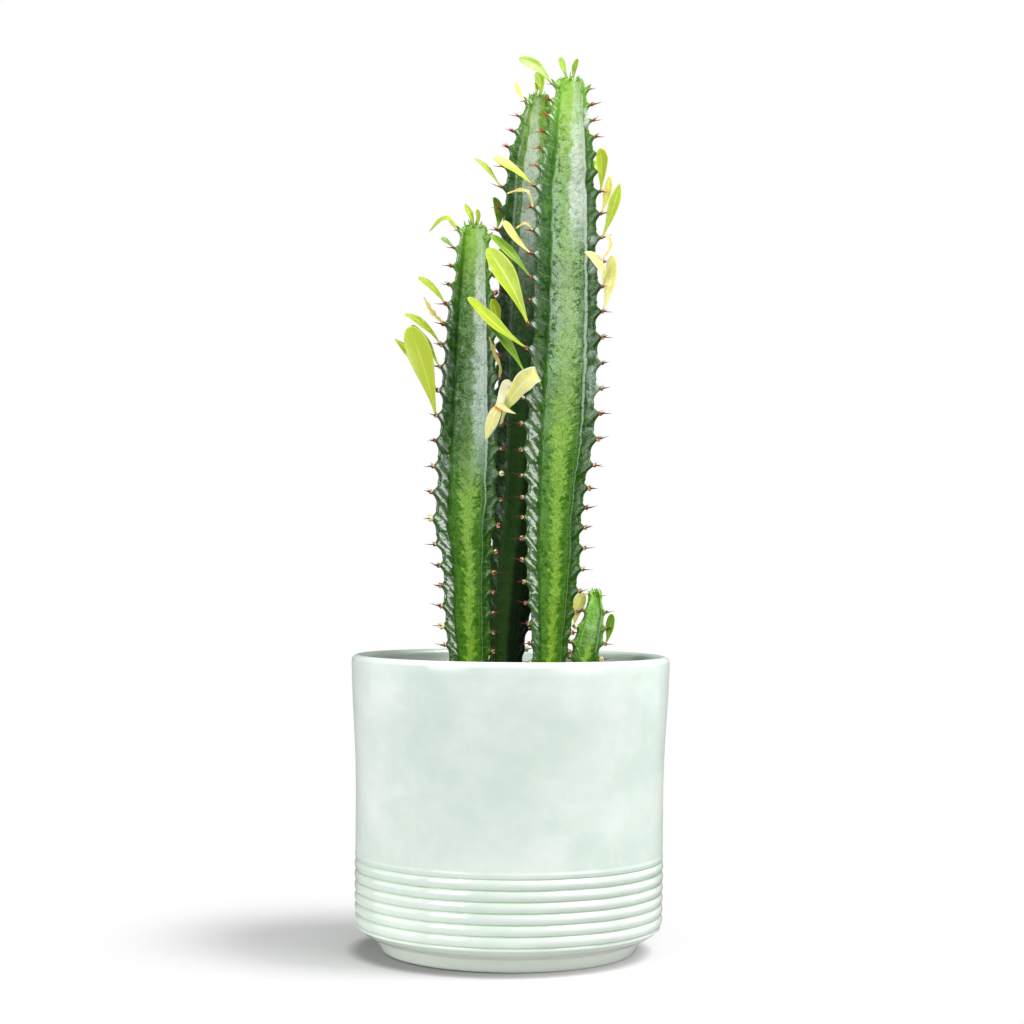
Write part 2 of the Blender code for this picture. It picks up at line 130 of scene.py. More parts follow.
# ---- leaves ----------------------------------------------------------------
# lean:   degrees from upright, positive to the right
# toward: degrees out of that plane, positive to the front
# turn:   degrees the blade is turned away from facing the front
# arch:   rise of the blade's middle over its length
# stem: a row each for leaf 1, 2 ...: rib or top, height, length, lean, toward, width, turn, arch, tone
LEAVES = {
    "stem_right": (
        ("left", 528, 24.5, -54, 10, 9, 35, 0.20, "lime"),
        ("left", 465, 29, -58, 15, 9, 50, 0.10, "fresh"),
        ("left", 423, 26, -43, 15, 9, 50, -0.10, "yellow"),
        ("left", 409, 35, -46, 15, 10, 50, 0.06, "green"),
        ("left", 379, 52, -30, 16, 15, 30, 0.08, "fresh"),
        ("left", 364, 49, -52, 24, 12, 50, -0.06, "fresh"),
        ("left", 349, 40, -37, 8, 12, 55, 0.06, "green"),
        ("right", 461, 27, -3, 28, 9, 35, 0.06, "fresh"),
        ("right", 445, 26, 12, -14, 6, 25, -0.08, "yellow"),
        ("right", 432, 34, 18, 10, 10, 45, -0.06, "fresh"),
        ("right", 403, 29, -34, 42, 9, 45, 0.28, "pale"),
        ("right", 387, 34, 9, 8, 9, 30, -0.08, "pale"),
        ("top", -1, 15, -20, 0, 5, 35, -0.12, "lime"),
        ("top", 2, 13, 11, 5, 4.5, 40, 0.10, "lime"),
        ("back", 505, 24, 8, -48, 9, 20, 0.10, "fresh"),
        ("back", 462, 33, 40, -24, 10, 35, 0.10, "green")),
    "stem_middle": (
        ("top", 2, 16, -10, 0, 6.5, 15, 0.05, "lime"),
        ("top", -1.4, 9, -2, 0, 3.5, 40, 0.05, "fresh"),
        ("left", 530, 13, -26, 5, 4.5, 40, -0.08, "yellow"),
        ("left", 474, 24, -43, 5, 8, 62, 0.08, "fresh"),
        ("left", 447, 24, -5, -22, 8, 40, 0.14, "green"),
        ("left", 487, 8, -36, 0, 4, 50, 0.05, "yellow"),
        ("back", 500, 30, 12, -46, 10, 20, 0.10, "fresh"),
        ("back", 447, 34, -46, -34, 11, 25, 0.12, "green"),
        ("right", 470, 32, 42, -20, 10, 40, 0.10, "fresh")),
    "stem_left": (
        ("top", 0, 15, -25, 0, 5, 40, 0.06, "fresh"),
        ("top", 2, 10.5, -3, 5, 4, 45, 0.05, "fresh"),
        ("left", 424, 9.5, -54, 10, 5, 50, 0.10, "green"),
        ("left", 395, 23, -47, 8, 8, 55, 0.10, "fresh"),
        ("left", 369, 29, -51, 8, 9, 55, 0.14, "fresh"),
        ("left", 355, 31, -34, -6, 9, 55, 0.05, "fresh"),
        ("left", 340, 42, -40, -8, 10, 50, 0.06, "fresh"),
        ("left", 325, 57, -17, 18, 15, 8, 0.05, "fresh"),
        ("right", 378, 23, -13, 30, 8, 40, 0.06, "fresh"),
        ("back", 405, 30, -14, -48, 10, 10, 0.10, "green")),
    "offshoot": (
        ("left", 198, 23, 16, -24, 8, 15, 0.12, "yellow"),
        ("right", 187, 19, 11, -12, 8, 50, -0.12, "green")),
}
# name: stem, rib, height, tone, the stalk's half width, and the way from the tooth: steps
#       sideways, forward and upward, with the half width there
BENT_LEAVES = {
    "bent_leaf_right": ("stem_right", "left", 335, "pale", 0.6, (
        (-4, 1, 3.5, 0.9), (-8, 2, 7.6, 1.6), (-10.6, 3, 8.2, 2.3), (-12.6, 4.6, 2.4, 2.5),
        (-14.6, 7, -5.4, 2.4), (-17.2, 8.6, -11, 3.5), (-19.8, 9, -18, 3.5), (-22.4, 9, -26.6, 0.4))),
    "bent_leaf_left": ("stem_left", "right", 319, "pale", 0.8, (
        (2.1, 7, 7, 1.2), (4.8, 13, 12.6, 2.9), (8.5, 18, 18, 4.6), (13.2, 21, 23.4, 5.7),
        (17.8, 22, 27, 5.9), (22, 21, 28.6, 4.6))),
    "dry_leaf_right_1": ("stem_right", "left", 450, "dry", 0.4, (
        (-2, 3, 7, 0.8), (-5, 4.5, 9.2, 1), (-10, 5, 9, 0.8), (-16, 5, 7, 0.3))),
    "dry_leaf_right_2": ("stem_right", "left", 437, "dry", 0.4, (
        (-3, 2.4, 3, 0.8), (-6, 3.4, 3, 0.8), (-10, 3, 0.2, 0.3))),
    "dry_leaf_right_3": ("stem_right", "right", 432, "dry", 0.4, (
        (3.4, 3, 0, 0.8), (5.4, 4, -4, 1), (4.2, 5.4, -9, 0.8), (1, 7, -14, 0.3))),
    "dry_leaf_left_1": ("stem_left", "left", 439, "fresh", 0.4, (
        (-2.6, 1, 3.4, 1.2), (-6, 1.4, 7, 1.5), (-11, 1, 5.6, 1.2), (-17, 0, -1, 0.4))),
    "dry_leaf_left_2": ("stem_left", "left", 382, "dry", 0.4, (
        (-3.6, 1.4, 3, 1.2), (-7, 2, 6.4, 1.5), (-9.6, 2, 11, 1.2), (-12, 2, 15.5, 0.4))),
    "dry_leaf_left_3": ("stem_left", "right", 348, "dry", 0.4, (
        (0.4, 5, 6, 1), (-2.4, 7.4, 12, 1.2), (-4.4, 8, 18, 1), (-6.4, 8, 24, 0.4))),
}
# share of its length at which a leaf is folded over, leaves that end in a point, and the one with pale faces
FOLDS = {"bent_leaf_right": 0.56}
POINTED = {"leaf_right_9", "leaf_right_10", "leaf_right_11", "leaf_left_5", "leaf_left_7", "leaf_middle_4"}
PALE_LEAF = "leaf_left_8"
# tone: slot, display colours of the body, rims and midrib, share of spots, translucence
TONES = {
    "fresh": ("leaf_fresh", (172, 200, 14), (208, 222, 84), (214, 228, 116), 0.0, 0.25),
    "lime": ("leaf_fresh", (134, 176, 20), (166, 196, 56), (186, 210, 84), 0.0, 0.15),
    "green": ("leaf_green", (118, 164, 36), (168, 198, 70), (172, 202, 90), 0.1, 0.25),
    "yellow": ("leaf_yellow", (228, 226, 100), (242, 240, 160), (242, 240, 160), 0.45, 0.6),
    "pale": ("leaf_yellow", (240, 238, 136), (250, 250, 200), (250, 250, 200), 0.15, 0.65),
    "dry": ("leaf_dry", (232, 212, 112), (246, 236, 160), (186, 140, 56), 0.8, 0.5),
}

# ---- lights ----------------------------------------------------------------
FLOOR_HALF = 5.0
# name: place, height it aims at over the middle, size, watts
LIGHTS = {
    "soft_box_right": ((1.20, -0.95, 0.66), 0.26, (0.9, 1.1), 16),
    "soft_box_left": ((-1.10, -1.10, 0.70), 0.24, (0.8, 1.1), 18),
    "side_light": ((0.95, -0.10, 1.75), 0.15, (0.8, 0.8), 32),
    "panel_above": ((0.0, -0.2, 2.1), 0.1, (2.4, 2.4), 25),
    "card_left": ((-1.3, 0.05, 0.50), 0.30, (1.2, 1.2), 6),
    "card_right": ((1.20, 0.55, 0.45), 0.30, (0.9, 1.2), 3),
}


# ---- shader maths ----------------------------------------------------------
def both_ways(operation):
    """A Math node's operator and its reflected form."""
    return (lambda self, other: self.math(operation, self, other),
            lambda self, other: self.math(operation, other, self))


class Socket:
    """A socket of one material's node tree whose operators add Math nodes."""

    __add__, __radd__ = both_ways("ADD")
    __sub__, __rsub__ = both_ways("SUBTRACT")
    __mul__, __rmul__ = both_ways("MULTIPLY")

    def __init__(self, tree, output=None):
        self.tree, self.output = tree, output

    def __abs__(self):
        return self.math("ABSOLUTE", self)

    def put(self, made, key, value):
        """Link a Socket into a node's input, or set the input to a plain value."""
        if isinstance(value, Socket):
            self.tree.links.new(value.output, made.inputs[key])
        else:
            made.inputs[key].default_value = value

    def node(self, kind, values=(), out=0, stops=(), **settings):
        """Add a node: its settings and a ramp's stops first, then the values or links of its sockets."""
        made = self.tree.nodes.new("ShaderNode" + kind)
        for key, value in settings.items():
            setattr(made, key, value)
        for number, (place, color) in enumerate(stops):
            elements = made.color_ramp.elements
            element = elements[number] if number < 2 else elements.new(place)
            element.position, element.color = place, (*color, 1.0)
        for key, value in values.items() if isinstance(values, dict) else enumerate(values):
            self.put(made, key, value)
        return Socket(self.tree, made.outputs[out])

    def math(self, operation, *values):
        """A Math node on Sockets and numbers."""
        return self.node("Math", values, operation=operation)

    def step(self, low, high):
        """0 below low and 1 above high, smooth between; low over high turns it round."""
        if low > high:
            return 1 - self.step(high, low)
        return self.node("MapRange", (self, low, high, 0.0, 1.0), interpolation_type="SMOOTHSTEP")

    def mix(self, first, second):
        """Colour that goes from first to second as this mask goes from 0 to 1."""
        first, second = (color if isinstance(color, Socket) else (*color, 1.0) for color in (first, second))
        return self.node("Mix", {0: self, 6: first, 7: second}, out=2, data_type="RGBA")


def srgb(red, green, blue):
    """Linear colour from 0-255 display values."""
    return tuple(c / 3294.6 if c <= 10.3 else ((c / 255 + 0.055) / 1.055) ** 2.4
                 for c in (red, green, blue))


def coats(color, *layers):
    """A colour with others laid over it in turn, each given as its mask and itself."""
    for mask, other in layers:
        color = mask.mix(color, other)
    return color


def new_material(name, **constants):
    """A Principled material with its constants on its own sockets, and a Socket to build from."""
    made = bpy.data.materials.new(name)
    made.use_nodes = True
    for key, value in constants.items():
        made.node_tree.nodes["Principled BSDF"].inputs[key.replace("_", " ")].default_value = value
    return made, Socket(made.node_tree)


def feed(made, **values):
    """Link values into the shader's sockets; returns the material."""
    for key, value in values.items():
        value.put(made.node_tree.nodes["Principled BSDF"], key.replace("_", " "), value)
    return made


def bump(pen, height, strength, distance):
    """Normal that follows a height in metres over the given distance."""
    return pen.node("Bump", {"Strength": strength, "Distance": distance, "Height": height})


def object_place(pen, scale=(1, 1, 1)):
    """The surface point in the object's own coordinates, stretched by scale."""
    return pen.node("Mapping", {"Vector": pen.node("TexCoord", out=3), "Scale": scale})


def object_height(pen):
    """The surface point's height in metres."""
    return pen.node("SeparateXYZ", (object_place(pen),), out=2)


def noise(pen, scale, detail=3.0, rough=0.5, warp=0.0, stretch=(1, 1, 1), place=None):
    """Noise over a place, which is the object's own coordinates unless another is given."""
    return pen.node("TexNoise", {"Vector": place or object_place(pen, stretch), "Scale": scale,
                                 "Detail": detail, "Roughness": rough, "Distortion": warp})


def attribute(pen, name):
    """A value that the mesh holds at each point."""
    return pen.node("Attribute", out=2, attribute_name=name)


# ---- mesh helpers ----------------------------------------------------------
def unit(vectors):
    """Vectors of length one."""
    return vectors / np.linalg.norm(vectors, axis=-1, keepdims=True)


def grid_faces(rows, columns):
    """Quads of a grid of points whose last column joins the first, as an array."""
    row = np.arange(rows - 1)[:, None] * columns
    column = np.arange(columns)[None, :]
    nxt = (column + 1) % columns
    return np.stack([row + column, row + nxt, row + columns + nxt, row + columns + column], -1).reshape(-1, 4)


def capped(rows, columns):
    """Faces of a tube of rings closed by one face at each end."""
    first = np.arange(columns)
    last = first + (rows - 1) * columns
    return grid_faces(rows, columns).tolist() + [first[::-1].tolist(), last.tolist()]


def new_object(name, data):
    """An object linked into the scene."""
    made = bpy.data.objects.new(name, data)
    bpy.context.scene.collection.objects.link(made)
    return made


def add_piece(name, points, faces, finish, slot, node=None, attributes=None, smooth=True):
    """A mesh object in place: points in millimetres, faces as lists, per-point attributes."""
    mesh = bpy.data.meshes.new(name)
    mesh.from_pydata((np.asarray(points) * MM).tolist(), [], faces)
    for key, values in (attributes or {}).items():
        held = mesh.attributes.new(key, "FLOAT", "POINT")
        held.data.foreach_set("value", np.asarray(values, np.float32).ravel())
    mesh.polygons.foreach_set("use_smooth", [smooth] * len(mesh.polygons))
    mesh.materials.append(finish)
    mesh.validate()
    made = new_object(name, mesh)
    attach(made, "root")
    if node:
        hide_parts(node)


def closed_tube(name, rings, finish, slot, node, attributes=None):
    """A surface of rings (rows, columns, 3) closed by a point at the middle of each end."""
    rows, columns, _ = rings.shape
    points = np.concatenate([rings.reshape(-1, 3), rings[:1].mean(1), rings[-1:].mean(1)])
    column = np.arange(columns)
    nxt = (column + 1) % columns
    first = np.full(columns, rows * columns)
    low = np.stack([first, nxt, column], -1)
    high = np.stack([first + 1, column + (rows - 1) * columns, nxt + (rows - 1) * columns], -1)
    faces = grid_faces(rows, columns).tolist() + np.stack([low, high], 1).reshape(-1, 3).tolist()
    padded = {key: np.concatenate([values.reshape(-1), [values[0].mean(), values[-1].mean()]])
              for key, values in (attributes or {}).items()}
    add_piece(name, points, faces, finish, slot, node, padded)


def flow(stations, heights, column=1):
    """Smooth values at heights: cubics through the stations with averaged slopes."""
    table = np.array(sorted(stations), float)
    at, value = table[:, 0], table[:, column]
    slope = np.gradient(value, at)
    heights = np.clip(np.asarray(heights, float), at[0], at[-1])
    k = np.clip(np.searchsorted(at, heights) - 1, 0, len(at) - 2)
    span = at[k + 1] - at[k]
    t = (heights - at[k]) / span
    return ((2 * t**3 - 3 * t**2 + 1) * value[k] + (t**3 - 2 * t**2 + t) * span * slope[k]
            + (3 * t**2 - 2 * t**3) * value[k + 1] + (t**3 - t**2) * span * slope[k + 1])


def ramp_at(stations, heights):
    """Values at heights on the straight lines between a few stations."""
    return np.interp(heights, *zip(*stations))


def cloud(x, y, z, size, seed):
    """Smooth wavy field from -1 to 1: four octaves of three sines, each of its own turn and phase."""
    draw = np.random.default_rng(seed)
    total = 0.0
    for octave in range(4):
        turn = draw.uniform(0, TAU, 6)
        wave = TAU / size * 1.7**octave
        first = np.sin(wave * (x * math.cos(turn[0]) + z * math.sin(turn[0])) + turn[1])
        second = np.cos(wave * (y * math.cos(turn[2]) + x * math.sin(turn[2])) + turn[3])
        third = np.sin(wave * (z + 0.6 * y) + turn[4])
        total = total + 0.6**octave * (first * second + 0.5 * third)
    return total / 2.6


# ---- stems -----------------------------------------------------------------
def tooth_heights(stem):
    """Heights of the left rib's teeth, stepping down by the pitch at each height."""
    heights, height = [], stem["first_tooth"]
    while height > LOWEST_TOOTH:
        heights.append(height)
        height -= float(ramp_at(stem["pitch"], height))
    return np.array(heights)


def rib_teeth(stem, rib):
    """Heights of one rib's teeth, from the top down."""
    teeth = tooth_heights(stem)
    return teeth - SLIP_SHARE[rib] * ramp_at(stem["slip"], teeth)


def reach_at(stem, heights):
    """Rib reach: the course below the first tooth, and a dome above it up to the tip."""
    first, top = stem["first_tooth"], stem["top"]
    reach = flow(stem["course"], np.minimum(heights, first), 2)
    rise = np.clip((np.asarray(heights, float) - first) / (top - first), 0, 1)
    return reach * (1 - 0.28 * rise**3)


def tooth_count(stem, rib, heights):
    """Running tooth number at a height, whole at each tooth and rising downward."""
    teeth = rib_teeth(stem, rib)
    upper = teeth[0] - (teeth[1] - teeth[0])
    lower = teeth[-1] + (teeth[-1] - teeth[-2])
    at = np.concatenate([[upper], teeth, [lower]])
    number = np.arange(-1, len(teeth) + 1)
    return np.interp(heights, at[::-1], number[::-1])


def wing(t, reach, half, rounded):
    """Half of a rib in its own plane: distance out along the rib and to its side, at t.

    A cubic Bezier from the crest (t = 0), straight in along the rib with hardly
    any flare, then round to meet the valley (t = 1) square to its radius.
    """
    valley = reach * (VALLEY + (0.90 - VALLEY) * rounded)
    out = [reach - half, reach * (1 - WING_RUN * (1 - 0.6 * rounded)) - half,
           valley * 0.5 + 0.433 * reach * (1 - 0.5 * rounded), valley * 0.5]
    side = [half, half + reach * (WING_FLARE + 0.4 * rounded),
            valley * 0.866 - 0.25 * reach * (1 - 0.5 * rounded), valley * 0.866]
    blend = [(1 - t)**3, 3 * (1 - t)**2 * t, 3 * (1 - t) * t**2, t**3]
    return (sum(share * place for share, place in zip(blend, out)),
            sum(share * place for share, place in zip(blend, side)))


def scallop(count):
    """0 at each tooth and 1 in the gap: the edge leaves a tooth along a quarter sine each way."""
    part = count - np.floor(count)
    below = np.sin(math.pi / 2 * np.clip(part / 0.40, 0, 1))
    above = np.sin(math.pi / 2 * np.clip((1 - part) / 0.32, 0, 1))
    return below * above * (1 - 0.10 * np.exp(-((part - 0.62) / 0.07)**2))


def shoulder(t):
    """Swelling across a flank: it grows evenly in from the crest, then falls round to nothing."""
    fall = np.clip((t - 0.36) / 0.26, 0, 1)
    return np.clip(t / 0.40, 0, 1) * (1 - fall * fall * (3 - 2 * fall))


def ridge(count, t):
    """A ridge that runs in and down from each tooth, and a lower one between each two."""
    turn = TAU * (count - 1.5 * t)
    return 0.30 + 0.55 * (0.5 + 0.5 * np.cos(turn)) + 0.15 * (0.5 + 0.5 * np.cos(2 * turn))


def stem_surface(stem, seed):
    """Rings of a stem from foot to tip, with each point's place in the pattern.

    Each rib is a pair of wings trimmed where the scallop's edge cuts them. The
    flank swells along a shoulder beside the crest, most on the ridges that run in
    and down from the teeth.
    """
    foot = SOIL_TOP - BURIED
    heights = np.linspace(foot, stem["top"], int((stem["top"] - foot) / ROW_STEP))[:, None]
    reach = reach_at(stem, heights)
    middle = flow(stem["course"], heights, 1)
    toothed = np.clip((heights - LOWEST_TOOTH + 8) / 12, 0, 1)
    tender = np.clip((heights - stem["top"] + 70) / 40, 0, 1)
    rounded = np.clip((SOIL_TOP + 12 - heights) / 20, 0, 1) * 0.8
    half = np.minimum(CREST_HALF, 0.4 * reach)
    arc = np.linspace(0.06, math.pi / 2, 4)[None, :]
    share = np.linspace(0, 1, 19)[None, 1:]
    trim_t = np.linspace(0, 0.6, 61)
    trim = 1 - CREST_HALF / USUAL_REACH - wing(trim_t, USUAL_REACH, CREST_HALF, 0.0)[0] / USUAL_REACH
    ribs = sorted(RIB_ANGLES, key=RIB_ANGLES.get)
    counts = {rib: tooth_count(stem, rib, heights) for rib in ribs}
    sheets, marks = [], {"crest": [], "wide": [], "lateral": [], "count": [], "face": []}
    for k, rib in enumerate(ribs):
        count = counts[rib]
        turn = math.radians(RIB_ANGLES[rib])
        uneven = 1 + 0.16 * np.sin(2.1 * np.floor(count) + seed + 2 * k)
        dip = scallop(count) * toothed * uneven * (1 + tender * np.clip(24 / reach - 1, 0, 0.6))
        start = np.interp(TOOTH_DEPTH * dip, trim, trim_t)
        swell = KNOB * reach * toothed * (0.8 + 0.3 * np.sin(3.7 * np.round(count) + 1.3 * seed + k))
        t = start + (1 - start) * share
        for way in (-1, 1):
            edge_out, edge_side = wing(start, reach, half, rounded)
            out, side = wing(t, reach, half, rounded)
            edge_side = edge_side + swell * ridge(count, start) * shoulder(start)
            side = side + swell * ridge(count, t) * shoulder(t)
            out = np.concatenate([edge_out + half * np.cos(arc), out], 1)
            side = np.concatenate([edge_side * np.sin(arc), side], 1)
            lateral = out * 0.866 - side * 0.5
            linked = 0.5 * np.clip(1 - lateral / (0.866 * reach), 0, 1)
            x = middle + out * math.cos(turn) - way * side * math.sin(turn)
            y = stem["depth"] + out * math.sin(turn) + way * side * math.cos(turn)
            order = slice(None) if way > 0 else slice(-2, None, -1)
            sheets.append(np.stack([x, y, np.broadcast_to(heights, x.shape)], -1)[:, order])
            near = {"crest": (reach - out) / 10, "wide": -way * lateral / (0.866 * reach),
                    "lateral": -way * lateral / 10,
                    "face": np.full_like(x, (k if way > 0 else (k - 1) % 3) + 1.0),
                    "count": count * (1 - linked) + counts[ribs[(k + way) % 3]] * linked}
            for key, values in near.items():
                marks[key].append(values[:, order])
    points = np.concatenate(sheets, 1)
    marks = {key: np.concatenate(values, 1) for key, values in marks.items()}
    wander = 0.2 * cloud(points[..., 0], points[..., 1], points[..., 2], 17.0, 5)
    away = np.stack([points[..., 0] - middle, points[..., 1] - stem["depth"]], -1)
    away /= np.maximum(np.linalg.norm(away, axis=-1, keepdims=True), 1e-6)
    points[..., :2] += away * wander[..., None] * np.clip(reach / 20, 0, 1)[..., None]
    marks["rise"] = np.broadcast_to((heights - SOIL_TOP) / (stem["top"] - SOIL_TOP), points.shape[:2])
    return points, marks


def skin_noise(pen, stretch, slant, scale, detail, rough):
    """Noise over a stem's faces, laid out in millimetres out from the valley line and up."""
    lateral = attribute(pen, "lateral") * 10
    out = abs(lateral)
    place = pen.node("CombineXYZ", (out * stretch, object_height(pen) * 1000 - out * slant,
                                    attribute(pen, "face") * 37 + lateral * 0.35))
    return noise(pen, scale, detail, rough, place=place)


def stem_material(name, young, shade, hand, haze_and_sheen, band, onset, painted_shade_depth, scar=0.0):
    """Waxy skin: glossy dark flanks, and between two creases a feathered valley.

    side runs from -1 to 1 across a face. A pale core lies near its middle, a bluish
    waxy haze partly painted as sheen on one side of it, and on the other a thin waxy
    line, partly a painted glint, that widens to a band above the onset. hand turns
    this round, band holds the band's edges, a depth of painted shade darkens the
    skin beyond the core and low down, and scar is the strength of a white mark.
    shade scales the colours low on the stem as painted light, painted shade under 1
    and painted light over 1. Pale patches on the far shoulder, partly real haze, and
    beside the teeth are painted reflection.
    """
    made, pen = new_material(name, Roughness=0.5, Coat_IOR=2.1, Coat_Roughness=0.13, Specular_IOR_Level=0.08)
    crest, wide, rise, count = (attribute(pen, key) for key in ("crest", "wide", "rise", "count"))
    finger = skin_noise(pen, 0.20, 0.75, 0.22, 3, 0.55)
    feather = skin_noise(pen, 0.30, 0.50, 0.36, 5, 0.68)
    sprig = skin_noise(pen, 0.55, 0.6, 0.80, 4, 0.7)
    blotch = skin_noise(pen, 0.8, 0.2, 0.22, 4, 0.6)
    broad = skin_noise(pen, 0.4, 0.0, 0.075, 2, 0.5)
    grain = noise(pen, 1100, 3, 0.7)
    cell = noise(pen, 230, 5, 0.75, 0.4, (1, 1, 0.8))

    def tone(*colors):
        """A colour at five heights, evened out by shade below and hardly at the top."""
        stops = []
        for place, color in zip((0.0, 0.42, 0.64, 0.82, 0.98), colors):
            # painted light: shade scales each colour low on the stem, painted shade under 1 and painted light
            # over 1, fading out towards the top
            light = shade + (0.96 * shade**0.3 - shade) * place**3
            stops.append((place, srgb(*(c * light for c in color))))
        return pen.node("ValToRGB", (rise,), stops=stops)

    dark = tone((42, 92, 0), (34, 80, 0), (30, 74, 8), (44, 94, 20), (84, 144, 26))
    mid = tone((72, 124, 0), (68, 122, 2), (66, 120, 18), (84, 142, 44), (124, 182, 54))
    pale = tone((146, 190, 58), (154, 196, 84), (176, 208, 140), (158, 198, 118), (182, 218, 112))
    # bluish waxy colour; in the band beside the core it also paints sheen
    haze = tone((98, 146, 52), (118, 160, 96), (166, 190, 166), (166, 192, 152), (192, 214, 124))
    # pale waxy colour that also paints glint and reflection: the line and band beside the core, the far
    # shoulder and the patches by the teeth
    wax_and_glint = tone((170, 200, 172), (178, 204, 184), (204, 220, 210), (222, 234, 222), (222, 236, 206))
    side = wide * hand + (broad - 0.5) * 0.12 + (blotch - 0.5) * 0.05
    stroke = (feather - 0.5) * 0.9 + (finger - 0.5) * 0.5
    valley = (abs(side - 0.06) + (sprig - 0.5) * 0.05).step(0.50, 0.44)
    left = (side + stroke * 0.5 + (cell - 0.5) * 0.3).step(-0.05, -0.22)
    # painted sheen: a bluish band beside the core, partly real waxy haze and partly a painted reflection of
    # the lights
    haze_and_sheen_band = valley * left * (0.45 + rise.step(0.30, 0.52) * 0.45) * haze_and_sheen * cell.step(0.36, 0.50)
    core = abs(side - 0.06 + stroke) + (cell - 0.5) * 0.5 - (0.14 + rise.step(0.30, 0.50) * 0.12)
    # painted shade also dulls the pale core
    core = valley * core.step(0.12, -0.04) * (0.6 + 0.4 * sprig.step(0.40, 0.56)) * (1 - painted_shade_depth)
    thin = (1 - haze_and_sheen) * rise.step(0.40, 0.55) * rise.step(0.97, 0.85)
    fringe = valley * (0.25 + 0.65 * abs(side - 0.06).step(0.08, 0.30))
    line = pen.math("PINGPONG", count + abs(side) * 0.3 + (feather - 0.5) * 0.3, 0.5)
    arcs = line.step(0.05, 0.0) * (0.3 + 0.7 * abs(side).step(0.30, 0.5)) * sprig.step(0.3, 0.5)
    # the band and the thin line beside the core: partly real waxy skin, partly a painted highlight of the
    # lights
    inner = (side + stroke * 0.40 + (cell - 0.5) * 0.35).step(band[0] - 0.08, band[0] + 0.08)
    outer = (side + (sprig - 0.5) * 0.04).step(band[1] + 0.015, band[1] - 0.015)
    ribbon = outer * inner * rise.step(*onset)
    thread = abs(side - 0.54 + (sprig - 0.5) * 0.06) - (0.026 + rise.step(0.35, 0.55) * 0.026)
    thread = thread.step(0.0, -0.030) * cell.step(0.30, 0.46) * (0.45 + rise.step(0.25, 0.5) * 0.35)
    ripple = count + abs(side) * 1.5 + (feather - 0.5) * 0.8 + (broad - 0.5) * 0.6
    ripple = pen.math("PINGPONG", ripple, 0.5)
    knobs = ripple.step(0.06, 0.20) * (1 - abs(ripple - 0.40).step(0.06, 0.0) * 0.6) * sprig.step(0.38, 0.50)
    # painted reflection: pale patches on the far shoulder, partly real waxy haze
    frost_and_reflection = side.step(0.58, 0.64) * crest.step(0.02, 0.12) * rise.step(0.36, 0.46) * rise.step(0.80, 0.70)
    near = 1 - rise.step(0.38, 0.58) * crest.step(0.30, 0.62)
    # painted sheen: pale gloss patches beside the teeth near the crest
    sheen = wide.step(-0.44, -0.52) * crest.step(0.04, 0.14) * near
    color = coats(
        dark,
        (valley * 0.8, mid),
        (haze_and_sheen_band, haze),
        (core * (1 - thin * 0.6), pale),
        (valley * thin * side.step(0.20, -0.10) * 0.5, dark),
        (cell.step(0.49, 0.42) * fringe, dark),
        (sprig.step(0.45, 0.37) * fringe * 0.8, dark),
        (cell.step(0.52, 0.62) * valley * rise.step(0.35, 0.6) * 0.65, haze),
        (cell.step(0.50, 0.60) * (1 - valley) * 0.6, mid),
        (abs(feather - 0.5).step(0.035, 0.0) * valley * 0.45, haze),
        (grain.step(0.50, 0.64) * (0.06 + 0.25 * valley), haze),
        (grain.step(0.50, 0.36) * (0.20 + 0.25 * valley), dark),
        (arcs * 0.18, pale),
        (ribbon * (0.48 + 0.48 * cell.step(0.38, 0.54)), wax_and_glint),
        (ribbon * grain.step(0.48, 0.38) * 0.6, mid),
        (thread * (1 - painted_shade_depth * 0.5), wax_and_glint),
        (frost_and_reflection * broad.step(0.40, 0.56) * cell.step(0.40, 0.56) * 0.60 * haze_and_sheen, wax_and_glint),
        (sheen * knobs * 0.10, wax_and_glint))
    if scar:
        spot = abs(side - 0.72 + (blotch - 0.5) * 0.5).step(0.16, 0.06)
        color = coats(color, (abs(rise - 0.935).step(0.022, 0.008) * spot * scar, srgb(228, 234, 224)))
    # painted shadow: near-black over the far side of the valley low on the stem, where it lies in shade
    painted_shadow = (side + stroke * 0.2).step(0.10, -0.12) * rise.step(0.80, 0.45) * painted_shade_depth
    color = coats(
        color,
        (rise.step(1.0 - young, 1.0) * (0.30 + 0.45 * sprig.step(0.3, 0.7)),
         srgb(146 * shade, 204 * shade, 76 * shade)),
        # painted shade: darker low on the stem
        (rise.step(0.80, 0.55) * painted_shade_depth * 0.55, srgb(46, 78, 44)),
        (painted_shadow, srgb(12, 24, 12)),
        (crest.step(0.075, 0.02) * 0.75, srgb(116 * shade, 168 * shade, 36 * shade)))
    gloss = wide.step(-0.46, -0.56) * (0.04 + 0.76 * knobs * near) + wide.step(0.60, 0.75) * 0.16 * knobs
    wrinkle = skin_noise(pen, 0.40, 0.75, 0.55, 3, 0.65) * abs(wide).step(0.46, 0.56)
    relief = wrinkle + grain * 0.06 + sprig * 0.10 + cell * 0.12
    return feed(made, Base_Color=color, Coat_Weight=0.03 + gloss * (1 - painted_shade_depth * rise.step(0.85, 0.60)),
                Normal=bump(pen, relief, 1.0, 0.0024))


def spike(base, tip, radius, sides=6):
    """A slim cone from base to tip, sagging a little: rings on a straight line plus a bend."""
    length = np.linalg.norm(tip - base)
    along = (tip - base) / length
    across = unit(np.cross(along, [0.3, 0.2, 1.0]))
    turn = TAU * np.arange(sides)[:, None] / sides
    circle = np.cos(turn) * across + np.sin(turn) * np.cross(along, across)
    share = np.array([0.0, 0.35, 0.7, 1.0])[:, None]
    size = radius * np.array([1.0, 0.62, 0.36, 0.06])
    line = base + share * (tip - base) + 0.12 * UP * length * share**2
    rings = line[:, None] + size[:, None, None] * circle
    return rings.reshape(-1, 3), capped(4, sides)


